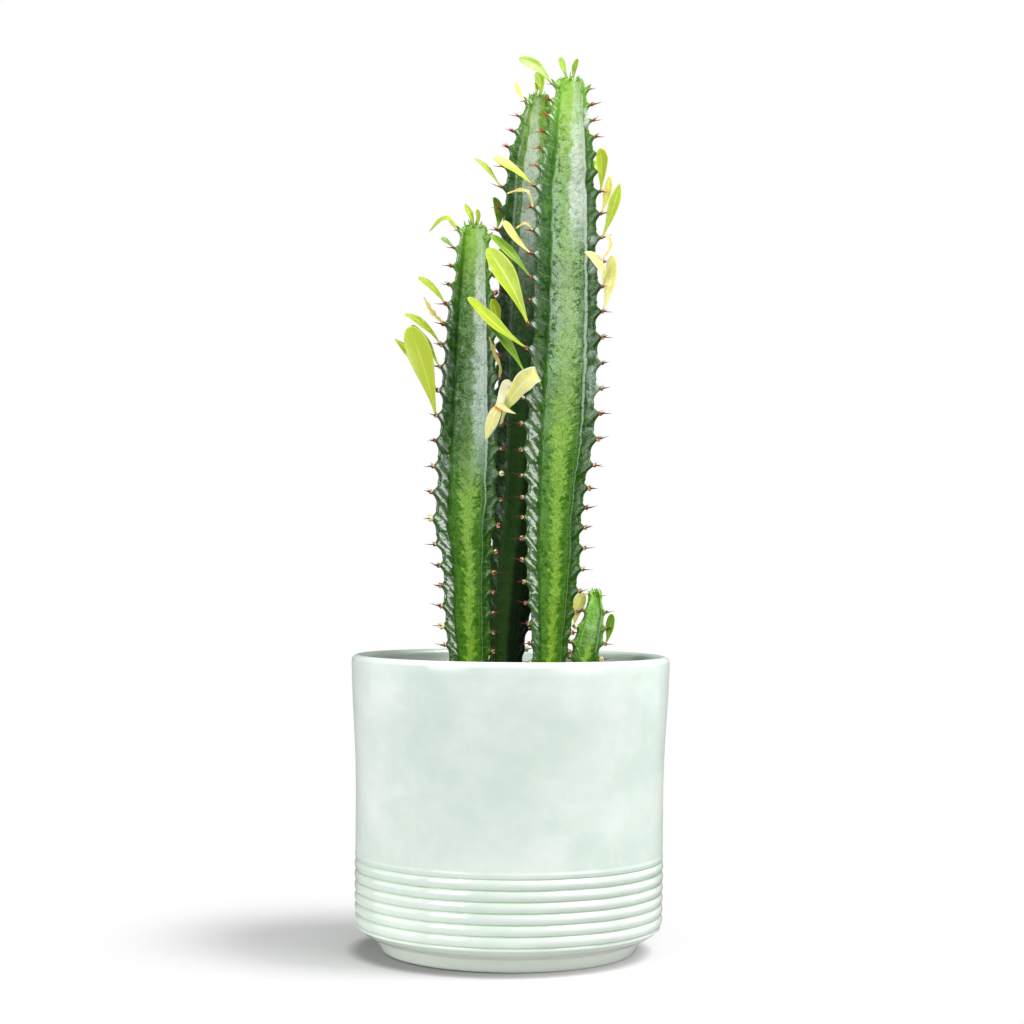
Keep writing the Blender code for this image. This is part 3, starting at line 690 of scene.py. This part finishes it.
def pad(centre, out, size):
    """A small swollen pad at a tooth's tip: an ellipsoid of four rings of eight points."""
    turn = TAU * np.arange(8)[:, None] / 8
    lift = np.linspace(-math.pi / 2, math.pi / 2, 6)[1:-1, None, None]
    circle = size[1] * np.cos(turn) * np.cross(UP, out) + size[2] * np.sin(turn) * UP
    rings = centre + size[0] * np.sin(lift) * out + np.cos(lift) * circle
    return rings.reshape(-1, 3), capped(4, 8)


def gather(parts):
    """One list of points and one of faces from several small shapes."""
    points, faces, start = [], [], 0
    for part_points, part_faces in parts:
        points.append(part_points)
        faces += [[start + corner for corner in face] for face in part_faces]
        start += len(part_points)
    return np.concatenate(points), faces


def tooth_frame(stem, rib, height):
    """Tip of a tooth, its outward and sideways directions."""
    turn = math.radians(RIB_ANGLES[rib])
    out = np.array([math.cos(turn), math.sin(turn), 0.0])
    side = np.array([-math.sin(turn), math.cos(turn), 0.0])
    centre = np.array([float(flow(stem["course"], height, 1)), stem["depth"], height])
    return centre + out * float(reach_at(stem, height)), out, side


def make_spines(name, stem, spine_finish, pad_finish, seed):
    """A pad, two long spines and two short prickles on every tooth; all are small on the topmost."""
    draw = np.random.default_rng(seed)
    spines, pads, lights = [], [], []
    for rib in RIB_ANGLES:
        for number, height in enumerate(rib_teeth(stem, rib)):
            tip, out, side = tooth_frame(stem, rib, height)
            scale = min(1.0, 0.45 + float(reach_at(stem, height)) / 30) * (1.0 if number else 0.6)
            size = scale * draw.uniform(0.85, 1.15)
            light = draw.uniform() < (0.16 if height < 400 else 0.0)
            lights.append(float(light))
            swollen = size * (1.35 if light else 0.72 if height > 420 else 1.0)
            pads.append(pad(tip - 0.2 * out, out, (1.45 * swollen, 1.2 * swollen, 1.6 * swollen)))
            for way in (-1, 1):
                length = draw.uniform(3.8, 6.6) * scale
                aim = out + way * draw.uniform(0.35, 0.8) * side + draw.uniform(-0.25, 0.3) * UP
                base = tip + 0.3 * out + way * 0.55 * side
                spines.append(spike(base, base + unit(aim) * length, 0.5 * size))
                aim = 0.7 * out + way * 0.5 * side + draw.uniform(0.5, 1.1) * UP
                base = tip + 0.2 * out + way * 0.5 * side + 0.8 * size * UP
                spines.append(spike(base, base + unit(aim) * draw.uniform(1.1, 2.2) * scale, 0.26 * size, 5))
    add_piece("spines_" + name, *gather(spines), spine_finish, "stem_skin")
    points, faces = gather(pads)
    light = np.repeat(np.array(lights), len(points) // len(pads))
    add_piece("spine_pads_" + name, points, faces, pad_finish, "stem_skin", attributes={"light": light})


def make_tip(name, stem, finish, seed):
    """Soft green horns on the topmost teeth and a few budding scales between them."""
    draw = np.random.default_rng(seed)
    parts = []
    small = 0.6 if name == "offshoot" else 1.0
    for rib in RIB_ANGLES:
        tip, out, side = tooth_frame(stem, rib, rib_teeth(stem, rib)[0])
        aim = 0.25 * out + UP + draw.uniform(-0.25, 0.25) * side
        parts.append(spike(tip - 5.5 * out - 1.2 * UP, tip - 0.2 * out + aim * 2.2 * small, 2.5 * small, 12))
    middle = np.array([float(flow(stem["course"], stem["top"], 1)), stem["depth"], stem["top"] - 0.8])
    for count, turn in enumerate(np.arange(12) * 2.4 + draw.uniform(0, 1)):
        out = np.array([math.cos(turn), math.sin(turn), 0.0])
        base = middle + out * (0.8 + 0.45 * count) * small - 0.12 * count * UP
        parts.append(spike(base, base + (0.4 * out + UP) * draw.uniform(2.4, 4.8) * small, 1.2 * small, 6))
    rise = [(cone[:, 2] - cone[:, 2].min()) / np.ptp(cone[:, 2]) for cone, _ in parts]
    add_piece("tip_" + name, *gather(parts), finish, "stem_skin", attributes={"rise": np.concatenate(rise)})


def tip_material():
    """Tender yellow-green growth with brown points."""
    made, pen = new_material("tip_growth", Roughness=0.4, Coat_Weight=0.15)
    mottle = noise(pen, 500, 3, 0.6)
    point = (attribute(pen, "rise") + (mottle - 0.5) * 0.6).step(0.72, 0.96) * 0.85
    color = mottle.step(0.35, 0.65).mix(srgb(84, 140, 46), srgb(142, 186, 62))
    color = point.mix(color, srgb(104, 70, 36))
    return feed(made, Base_Color=color, Normal=bump(pen, mottle, 0.4, 0.0005))


def spine_material():
    """Horny spines: red-brown below, orange-red on the young growth near the tips."""
    made, pen = new_material("spine_horn", Roughness=0.5, Coat_Weight=0.05)
    patch = noise(pen, 300, 2).step(0.35, 0.65)
    old = patch.mix(srgb(96, 40, 30), srgb(58, 28, 26))
    young = patch.mix(srgb(206, 82, 12), srgb(112, 38, 14))
    return feed(made, Base_Color=object_height(pen).step(0.38, 0.47).mix(old, young))


def pad_material():
    """Spine shields: tan beads with brown patches, redder near the tips, a few cream."""
    made, pen = new_material("spine_shield", Roughness=0.4, Coat_Weight=0.2)
    patch = noise(pen, 700, 3, 0.6)
    tan = patch.step(0.40, 0.54).mix(srgb(244, 202, 152), srgb(124, 52, 26))
    red = patch.step(0.38, 0.58).mix(srgb(204, 88, 20), srgb(92, 34, 14))
    cream = patch.step(0.50, 0.74).mix(srgb(246, 232, 178), srgb(196, 130, 70))
    color = coats(tan, (object_height(pen).step(0.34, 0.44), red), (attribute(pen, "light"), cream))
    return feed(made, Base_Color=color, Normal=bump(pen, noise(pen, 1500, 2), 0.4, 0.0004))


# young growth at the tip, shade as painted light (painted shade under 1, painted light over 1), side of the
# waxy line and its painted glint, strength of the waxy haze and painted sheen, the band's edges and onset,
# depth of painted shade, scar near the tip
SKINS = {
    "stem_right": (0.12, 1.0, 1, 0.9, (0.10, 0.58), (0.70, 0.80), 0.0, 0.9),
    "stem_left": (0.16, 0.96, 1, 0.10, (0.14, 0.58), (0.42, 0.62), 0.0),
    "stem_middle": (0.10, 0.72, -1, 0.5, (-0.08, 0.34), (0.62, 0.78), 0.85),
    "offshoot": (0.80, 1.25, 1, 0.1, (0.30, 0.42), (0.5, 1.0), 0.0),
}


def make_stems():
    """Each stem's flesh, with the spines and pads of its teeth and the growth on its tip."""
    spine_finish, pad_finish, tip_finish = spine_material(), pad_material(), tip_material()
    for seed, (name, stem) in enumerate(STEMS.items()):
        points, marks = stem_surface(stem, seed)
        finish = stem_material(name + "_skin", *SKINS[name])
        closed_tube(name + "_flesh", points, finish, "stem_skin", name, marks)
        make_spines(name, stem, spine_finish, pad_finish, seed + 11)
        make_tip(name, stem, tip_finish, seed + 31)


# ---- leaves ----------------------------------------------------------------
BLADE_SIDES = 22


def leaf_seat(stem, rib, place, forward=0.0):
    """Where a leaf starts: at the nearest tooth, or on the stem's tip."""
    if rib == "top":
        middle = float(flow(stem["course"], stem["top"], 1))
        return np.array([middle + place, stem["depth"], stem["top"] - 0.4])
    teeth = rib_teeth(stem, rib)
    tip, out, side = tooth_frame(stem, rib, float(teeth[np.argmin(np.abs(teeth - place))]))
    return tip + 0.1 * out + side * (forward if rib == "left" else -forward)


def curve_through(points, count):
    """Evenly shared points on a Catmull-Rom curve through the given ones."""
    points = np.asarray(points, float)
    padded = np.concatenate([2 * points[:1] - points[1:2], points, 2 * points[-1:] - points[-2:-1]])
    at = np.linspace(0, len(points) - 1 - 1e-9, count)
    k, t = np.floor(at).astype(int), (at % 1.0)[:, None]
    a, b, c, d = padded[k], padded[k + 1], padded[k + 2], padded[k + 3]
    return 0.5 * (2 * b + (c - a) * t + (2 * a - 5 * b + 4 * c - d) * t**2 + (3 * b - a - 3 * c + d) * t**3)


def blade(name, line, half, face, tone, finishes, seed, thick=0.42, fold=0.22, ripple=0.05, node=None):
    """A thin fleshy blade: flattened rings along a line.

    Across the blade, q runs from -1 to 1 at the rims; the halves rise by fold
    times q squared, the rims ripple, and a shallow groove follows the midrib.
    """
    draw = np.random.default_rng(seed)
    along = unit(np.gradient(line, axis=0))
    across = unit(np.cross(along, face))
    normal = np.cross(across, along)
    turn = -TAU * np.arange(BLADE_SIDES)[None, :, None] / BLADE_SIDES
    q, up = np.cos(turn), np.sin(turn)
    steps = np.linalg.norm(np.diff(line, axis=0), axis=1)
    share = (np.concatenate([[0], np.cumsum(steps)]) / steps.sum())[:, None, None]
    half = np.asarray(half)[:, None, None]
    wave = np.sin(TAU * (share * draw.uniform(1.2, 2.2) + draw.uniform(0, 1)) + 2.2 * q)
    lift = half * (fold * q**2 + ripple * wave * np.abs(q)**2)
    rib = np.exp(-(q / 0.14)**2)
    body = np.minimum(thick, half * 0.8) * up * (1 - 0.35 * rib * (up > 0) + 0.5 * rib * (up < 0))
    rings = line[:, None] + across[:, None] * (half * q) + normal[:, None] * (lift + body)
    pale = 0 * share + (0.75 if name == PALE_LEAF else draw.uniform(0, 0.35))
    scorch = 0 * share
    if name in FOLDS:
        pale = 0.95 - 0.75 * (share > FOLDS[name])
        scorch = np.exp(-((share - FOLDS[name] - 0.04) / 0.035)**2)
    marks = {key: np.broadcast_to(values, (len(line), BLADE_SIDES, 1))[..., 0]
             for key, values in (("across", q), ("along", share), ("paleness", pale), ("scorch", scorch))}
    closed_tube(name + "_blade", rings, finishes[tone], TONES[tone][0], node or name, marks)


def leaf_outline(share, width, widest=0.66, blunt=2.3):
    """Spoon-shaped half width: a slim stalk, a smooth swell, then the quarter of an ellipse.

    A low power in blunt draws the end out to a point.
    """
    swell = np.clip(share / widest, 0, 1)
    swell = 0.09 + 0.91 * (0.35 * swell + 0.65 * swell**2 * (3 - 2 * swell))
    end = np.clip((share - widest) / (1 - widest), 0, 1)
    return np.maximum(width / 2 * swell * (1 - 0.999 * end**blunt)**(0.5 if blunt > 2 else 0.8), 0.06)


def make_leaf(name, stem, spec, finishes, seed):
    """A straight or arched leaf that leans out from its tooth."""
    rib, place, length, lean, toward, width, turn, arch, tone = spec
    lean, toward, turn = (math.radians(v) for v in (lean, toward, turn))
    flat = math.cos(toward)
    along = np.array([math.sin(lean) * flat, -math.sin(toward), math.cos(lean) * flat])
    sideways = unit(np.cross([0, -1.0, 0], along))
    front = np.cross(along, sideways)
    front *= -1 if front[1] > 0 else 1
    upward = sideways if sideways[2] > 0 else -sideways
    share = 1 - np.linspace(1, 0, 34)**1.35
    line = (leaf_seat(stem, rib, place) + share[:, None] * along * length
            + (arch * length * 2 * share * (1 - share))[:, None] * upward)
    half = leaf_outline(share, width, 0.58 + 0.12 * ((seed * 7) % 5) / 4, 1.5 if name in POINTED else 2.3)
    blade(name, line, half, front * math.cos(turn) + upward * math.sin(turn), tone, finishes, seed)


def make_bent_leaf(name, spec, finishes, seed):
    """A blade along a smooth curve through its steps, whose half width follows the same curve."""
    stem_name, rib, place, tone, stalk, way = spec
    seat = leaf_seat(STEMS[stem_name], rib, place, 1.0)
    knots = [(*seat, stalk)] + [(seat[0] + right, seat[1] - forward, seat[2] + up, half)
                                for right, forward, up, half in way]
    curve = curve_through(knots, 56)
    dry = tone == "dry"
    waver = (0.25 if dry else 0.05) * np.sin(np.linspace(0, 1, 56) * 21 + seed)
    half = np.maximum(curve[:, 3] * (1 + waver), 0.3)
    blade(name, curve[:, :3], half, unit(np.array([0.25, -1, 0.35])), tone, finishes, seed,
          0.3 if dry else 0.4, 0.5 if dry else 0.25, 0.25 if dry else 0.10)


def make_flap(finishes):
    """A torn corner of the folded leaf that sticks out beside its fold."""
    seat = leaf_seat(STEMS["stem_right"], "left", 335, 1.0)
    steps = ((-15, -7.0, -4.4), (-11.6, -8.6, -7.4), (-8.2, -10.0, -9.2), (-4.6, -11.0, -10.6))
    half = 2.3 * (1 - np.linspace(0, 1, 20))**0.8 + 0.12
    blade("bent_leaf_right_flap", curve_through(seat + np.array(steps), 20), half, np.array([0.2, -1, 0.3]),
          "pale", finishes, 402, 0.35, node="bent_leaf_right")


def leaf_material(name, body, rim, midrib, spots, glow):
    """Soft translucent blade: paler midrib and rims, faint side veins, small spots."""
    made, pen = new_material(name, Roughness=0.42, Coat_Weight=0.15, Coat_Roughness=0.3,
                             Specular_IOR_Level=0.4, Subsurface_Weight=glow, Subsurface_Scale=0.004,
                             Subsurface_Radius=(0.8, 1.0, 0.35))
    across, along = abs(attribute(pen, "across")), attribute(pen, "along")
    soft = noise(pen, 120, 4, 0.6)
    fleck = noise(pen, 520, 2, 0.5).step(0.72, 0.78)
    vein = pen.math("PINGPONG", along * 11 - across * 2.2, 0.5)
    color = coats(
        body,
        (soft.step(0.3, 0.7), tuple(0.78 * c for c in body)),
        (across.step(0.72, 1.0) * 0.7, rim),
        (across.step(0.16, 0.02) * along.step(1.0, 0.7) * 0.75, midrib),
        (vein.step(0.06, 0.0) * 0.22, midrib),
        (along.step(0.16, 0.0) * 0.6, rim),
        (attribute(pen, "paleness") * (0.4 + 0.6 * soft), rim),
        (attribute(pen, "scorch"), srgb(222, 140, 44)),
        (along.step(0.955, 1.0) * spots, srgb(120, 74, 30)),
        (fleck * spots, srgb(126, 96, 30)))
    return feed(made, Base_Color=color, Normal=bump(pen, vein.step(0.08, 0.0) + soft, 0.25, 0.0004))


def make_leaves():
    """Every leaf, straight and bent, in the finish of its tone; each has a seed of its own."""
    finishes = {tone: leaf_material(f"leaf_{tone}_blade", *(srgb(*color) for color in colors), spots, glow)
                for tone, (_, *colors, spots, glow) in TONES.items()}
    rows = [(stem, number, spec) for stem, specs in LEAVES.items() for number, spec in enumerate(specs, 1)]
    for seed, (stem, number, spec) in enumerate(rows, 100):
        make_leaf(f"leaf_{stem.removeprefix('stem_')}_{number}", STEMS[stem], spec, finishes, seed)
    for seed, (name, spec) in enumerate(BENT_LEAVES.items(), 300):
        make_bent_leaf(name, spec, finishes, seed)
    make_flap(finishes)


# ---- pot -------------------------------------------------------------------
def pot_outline():
    """(radius, height) down the outside, over the lip and down the inside, with two marks.

    The wall is a smooth curve through a few stations. Below it, seven narrow
    grooves are cut as bell curves between ribs that swell as a half sine. pool is
    1 in the grooves' middles, inside is 1 from the lip's middle inwards.
    """
    side = np.linspace(1.0, FOOT_HEIGHT - 0.4, 8)
    ring = np.stack([FOOT_RADIUS + (FOOT_TOP_RADIUS - FOOT_RADIUS) * (side / FOOT_HEIGHT)**0.85, side], 1)
    under = [(0, 2.6), (60, 2.6), (70.6, 2.6), (71.5, 2.2), (72.0, 0.6), (72.7, 0.0),
             (FOOT_RADIUS - 1.0, 0.0), (FOOT_RADIUS - 0.1, 0.25)]
    belly = [(81.3, 8.1), (81.6, 8.6), (82.6, 9.1), (84.4, 9.8), (86.4, 10.6), (88.4, 11.7), (90.2, 13.0),
             (91.4, 14.3)]
    foot = np.concatenate([under, ring, belly])
    last_groove = FIRST_GROOVE + (GROOVE_COUNT - 1) * GROOVE_PITCH
    wall_foot = last_groove + 5.0
    height = np.linspace(RIBS_FOOT, wall_foot, 190)
    number = (height - FIRST_GROOVE) / GROOVE_PITCH
    away = (number - np.clip(np.round(number), 0, GROOVE_COUNT - 1)) * GROOVE_PITCH
    groove = np.exp(-(away / GROOVE_HALF_WIDTH)**2)
    groove *= np.interp(height, [last_groove - 2, last_groove], [1, 0.5])
    swell = np.where(number < GROOVE_COUNT - 1, np.abs(np.sin(math.pi * number))**0.8,
                     0.55 + 0.2 * np.exp(-((away - 2.4) / 1.2)**2))
    base = np.interp(height, [RIBS_FOOT, 17, 22, wall_foot], [92.6, 93.4, RIB_RADIUS - RIB_SWELL * 0.6, 94.0])
    ribs = np.stack([base + RIB_SWELL * (swell - 0.5) - GROOVE_DEPTH * groove, height], 1)
    up = np.linspace(wall_foot + 1.0, 171.5, 46)
    wall = ((wall_foot, 94.05), (75, 94.1), (98, 94.15), (122, 94.8), (138, 95.7), (154, 96.7), (172, 97.45))
    wall = np.stack([flow(wall, up), up], 1)
    middle, half = (RIM_RADIUS + LIP_INNER_RADIUS) / 2, (RIM_RADIUS - LIP_INNER_RADIUS) / 2
    turn = np.radians(np.linspace(4, 176, 24))
    lip = np.stack([middle + half * np.cos(turn), POT_HEIGHT - half * (1 - np.sin(turn))], 1)
    down = np.linspace(172.5, 27.0, 60)
    inner = flow(((24, 85.8), (40, 86.8), (110, 87.4), (150, 88.6), (174, 89.9)), down)
    inner = inner + 0.12 * np.sin(down * 1.1)
    floor = [(85.4, 22), (83.6, 16.4), (80, 12.6), (75, 10.6)] + [(far, FLOOR_HEIGHT) for far in (66, 30, 0)]
    outline = np.concatenate([foot, ribs, wall, lip, np.stack([inner, down], 1), floor])
    pool, inside = np.zeros(len(outline)), np.zeros(len(outline))
    pool[len(foot):len(foot) + len(ribs)] = groove
    inside[-(len(lip) // 2 + len(down) + len(floor)):] = 1.0
    return outline, {"pool": pool, "inside": inside}


def make_pot():
    """The outline turned about Z, with a hand-made waver of a fraction of a millimetre."""
    outline, marks = pot_outline()
    radius, height = outline[1:-1, :1], outline[1:-1, 1:]
    turn = TAU * np.arange(POT_SEGMENTS)[None, :] / POT_SEGMENTS
    waver = 1 - 0.0006 * (1 + 0.5 * np.sin(2 * turn + height * 0.02) + 0.5 * np.sin(5 * turn + height * 0.06))
    waver = np.where(np.abs(height - POT_HEIGHT) < 9, 1.0 - 0.0002 * (1 + np.sin(3 * turn)), waver)
    rings = np.stack([radius * waver * np.cos(turn), radius * waver * np.sin(turn), height + 0 * turn], -1)
    marks = {key: np.broadcast_to(values[1:-1, None], rings.shape[:2]) for key, values in marks.items()}
    closed_tube("pot_body", rings, pot_material(), "pot_glaze", "pot", marks)


def pot_material():
    """Celadon glaze: clouded pale green, greener where it pools in the grooves, paler on the lip, lighter low
    down and almost white on the foot as painted light, darker inside as painted shade.
    """
    made, pen = new_material("celadon_glaze", Coat_Roughness=0.04, Specular_IOR_Level=0.5)
    height = object_height(pen)
    clouds = noise(pen, 17, 3, 0.55, 0.3, (1, 1, 1.5))
    wisps = noise(pen, 48, 4, 0.6, 0.0, (1, 1, 1.2))
    speck = noise(pen, 600, 2, 0.6)
    streak = noise(pen, 220, 2, 0.5, 0.0, (1, 1, 0.06))
    tint = clouds * 0.62 + wisps * 0.28 + speck * 0.06 + streak * 0.04
    foot = height.step(0.064, 0.050)
    color = coats(
        srgb(209, 225, 215),
        (tint.step(0.34, 0.68), srgb(230, 239, 232)),
        # painted light: lighter over the ribbed lower body and almost white on the foot, standing in for
        # light thrown up from the floor
        (foot * 0.25, srgb(230, 240, 228)),
        (height.step(0.0165, 0.0145) * 0.8, srgb(240, 247, 236)),
        (height.step(0.1752, 0.1785) * 0.85, srgb(222, 233, 226)),
        (attribute(pen, "pool") * 0.85, srgb(180, 212, 178)),
        # painted shade: darker inside the pot
        (attribute(pen, "inside") * 0.7, srgb(188, 206, 193)))
    relief = speck * 0.25 + noise(pen, 90, 2)
    return feed(made, Base_Color=color, Coat_Weight=0.2 + foot * 0.4,
                Roughness=0.22 - 0.13 * foot + 0.05 * wisps, Normal=bump(pen, relief, 0.12, 0.0004))


# ---- soil ------------------------------------------------------------------
def soil_rise(x, y):
    """Height of the soil's surface: a lumpy field that rises a little round each stem."""
    lumps = ((0.7, 14.0, 3), (0.5, 5.0, 4), (0.3, 2.2, 8))
    rise = sum(share * cloud(x, y, 0 * x, size, seed) for share, size, seed in lumps)
    for stem in STEMS.values():
        away = np.hypot(x - float(flow(stem["course"], SOIL_TOP, 1)), y - stem["depth"])
        rise = rise + 2.0 * np.exp(-(away / 18)**2)
    return SOIL_TOP - 1.4 + rise


def make_soil():
    """A lumpy disc turned down the pot's inner wall and closed under it, with loose crumbs on top."""
    turn = TAU * np.arange(180)[None, :] / 180
    radii = np.concatenate([np.linspace(0.8, SOIL_RADIUS, 80), [88.1, 87.0, 86.0, 70.0]])[:, None]
    x, y = radii * np.cos(turn), radii * np.sin(turn)
    z = soil_rise(x, y)
    z[-4:] = np.array([150.0, 110.0, 30.0, 11.0])[:, None]
    finish = soil_material()
    closed_tube("soil_fill", np.stack([x, y, z], -1)[::-1], finish, "potting_soil", "soil")
    draw = np.random.default_rng(21)
    crumbs = (("bark", 420, 0.9, 2.6, finish), ("grit", 150, 0.7, 1.7, grit_material()))
    for kind, amount, low, high, look in crumbs:
        parts = []
        for _ in range(amount):
            far, angle = (SOIL_RADIUS - 2) * math.sqrt(draw.uniform(0, 1)), draw.uniform(0, TAU)
            x, y = far * math.cos(angle), far * math.sin(angle)
            size = draw.uniform(low, high) * np.array([1.0, draw.uniform(0.5, 0.9), draw.uniform(0.35, 0.7)])
            if far + size[0] <= SOIL_RADIUS - 0.5:
                parts.append(crumb(np.array([x, y, float(soil_rise(x, y)) + 0.3]), size, draw))
        add_piece("soil_" + kind, *gather(parts), look, "potting_soil", smooth=False)


def crumb(centre, size, draw):
    """A rough grain: a ball of three rings of seven points, of jittered radius, turned at random."""
    turn = TAU * np.arange(7)[None, :] / 7
    lift = np.linspace(-math.pi / 2, math.pi / 2, 5)[1:-1, None]
    ball = np.stack([np.cos(lift) * np.cos(turn), np.cos(lift) * np.sin(turn), np.sin(lift) + 0 * turn], -1)
    ball = ball.reshape(-1, 3) * (1 + draw.uniform(-0.25, 0.25, (21, 1)))
    ball = ball * size @ np.array(Euler(draw.uniform(0, TAU, 3)).to_matrix())
    return ball + centre, capped(3, 7)


def soil_material():
    """Moist potting mix: dark crumbs with lighter fibres."""
    made, pen = new_material("potting_mix", Roughness=0.92)
    fine = noise(pen, 380, 5, 0.7)
    fibre = noise(pen, 500, 3, 0.6, 0.0, (1, 0.2, 1)).step(0.62, 0.72)
    color = coats(srgb(30, 22, 16), (fine.step(0.3, 0.7), srgb(72, 52, 36)), (fibre, srgb(118, 86, 56)))
    return feed(made, Base_Color=color, Normal=bump(pen, fine, 0.8, 0.002))


def grit_material():
    """Pumice and perlite grains."""
    made, pen = new_material("soil_grit", Roughness=0.85)
    color = noise(pen, 90, 2).step(0.4, 0.6).mix(srgb(214, 206, 190), srgb(150, 128, 100))
    return feed(made, Base_Color=color, Normal=bump(pen, noise(pen, 900, 3), 0.6, 0.001))


# ---- stage -----------------------------------------------------------------
def make_camera():
    """A long lens low in front of the pot, tipped up a little and rolled half a degree."""
    lens = bpy.data.cameras.new("camera")
    lens.lens, lens.sensor_width = 73.1, 36.0
    camera = new_object("camera", lens)
    turn = Euler((math.radians(90 + 1.377), 0, 0)).to_matrix() @ Matrix.Rotation(math.radians(0.5), 3, "Z")
    camera.rotation_euler = turn.to_euler()
    camera.location = (0.0, -1.2795, 0.2367)
    bpy.context.scene.camera = camera


def area_light(name, place, target, size, power):
    """A soft rectangle of white light that faces a point on the Z axis."""
    light = bpy.data.lights.new(name, "AREA")
    light.shape, light.size, light.size_y = "RECTANGLE", *size
    light.energy = power
    made = new_object(name, light)
    made.location = place
    x, y, z = (-place[0], -place[1], target - place[2])
    made.rotation_euler = (math.atan2(math.hypot(x, y), -z), 0, math.atan2(x, -y) + math.pi)


def studio_floor():
    """White sweep: soft shadows near the pot with a painted contact shadow in a ring round its foot, an even
    white glow further out, little bounce.
    """
    made, pen = new_material("studio_floor", Roughness=0.95, Specular_IOR_Level=0.0)

    def ring(middle, low, high):
        """0 to 1 between two distances from a middle."""
        away = pen.node("VectorMath", (object_place(pen), middle), out=1, operation="DISTANCE")
        return away.step(low, high)

    seen = pen.node("LightPath")
    tone = seen.mix((0.62, 0.62, 0.62), (0.64, 0.64, 0.64))
    # painted shadow: the floor turns dark in a ring round the pot's foot
    feed(made, Base_Color=(ring((-0.006, 0, 0), 0.096, 0.084) * 0.5).mix(tone, (0.05, 0.05, 0.05)))
    glow = pen.node("Emission", {"Color": seen.mix((0.3, 0.3, 0.3), (1, 1, 1)), "Strength": 1.0})
    matt = Socket(pen.tree, made.node_tree.nodes["Principled BSDF"].outputs[0])
    blend = pen.node("MixShader", (ring((-0.055, 0.03, 0), 0.095, 0.215), matt, glow))
    pen.put(made.node_tree.nodes["Material Output"], "Surface", blend)
    return made


def make_stage():
    """A white floor under an even sky, with soft boxes to the left and right and a panel above."""
    mesh = bpy.data.meshes.new("studio_floor")
    corners = [(x * FLOOR_HALF, y * FLOOR_HALF, -0.0003) for x, y in ((-1, -1), (1, -1), (1, 1), (-1, 1))]
    mesh.from_pydata(corners, [], [(0, 1, 2, 3)])
    mesh.materials.append(studio_floor())
    new_object("studio_floor", mesh)
    world = bpy.data.worlds.new("studio")
    world.use_nodes = True
    pen = Socket(world.node_tree)
    sky = world.node_tree.nodes["Background"]
    sky.inputs["Color"].default_value = (1, 1, 1, 1)
    pen.put(sky, "Strength", 0.13 + pen.node("LightPath") * 0.87)
    bpy.context.scene.world = world
    for name, spec in LIGHTS.items():
        area_light(name, *spec)
    bpy.context.scene.view_settings.view_transform = "Standard"


make_camera()
make_pot()
make_soil()
make_stems()
make_leaves()
make_stage()

bpy.context.view_layer.update()
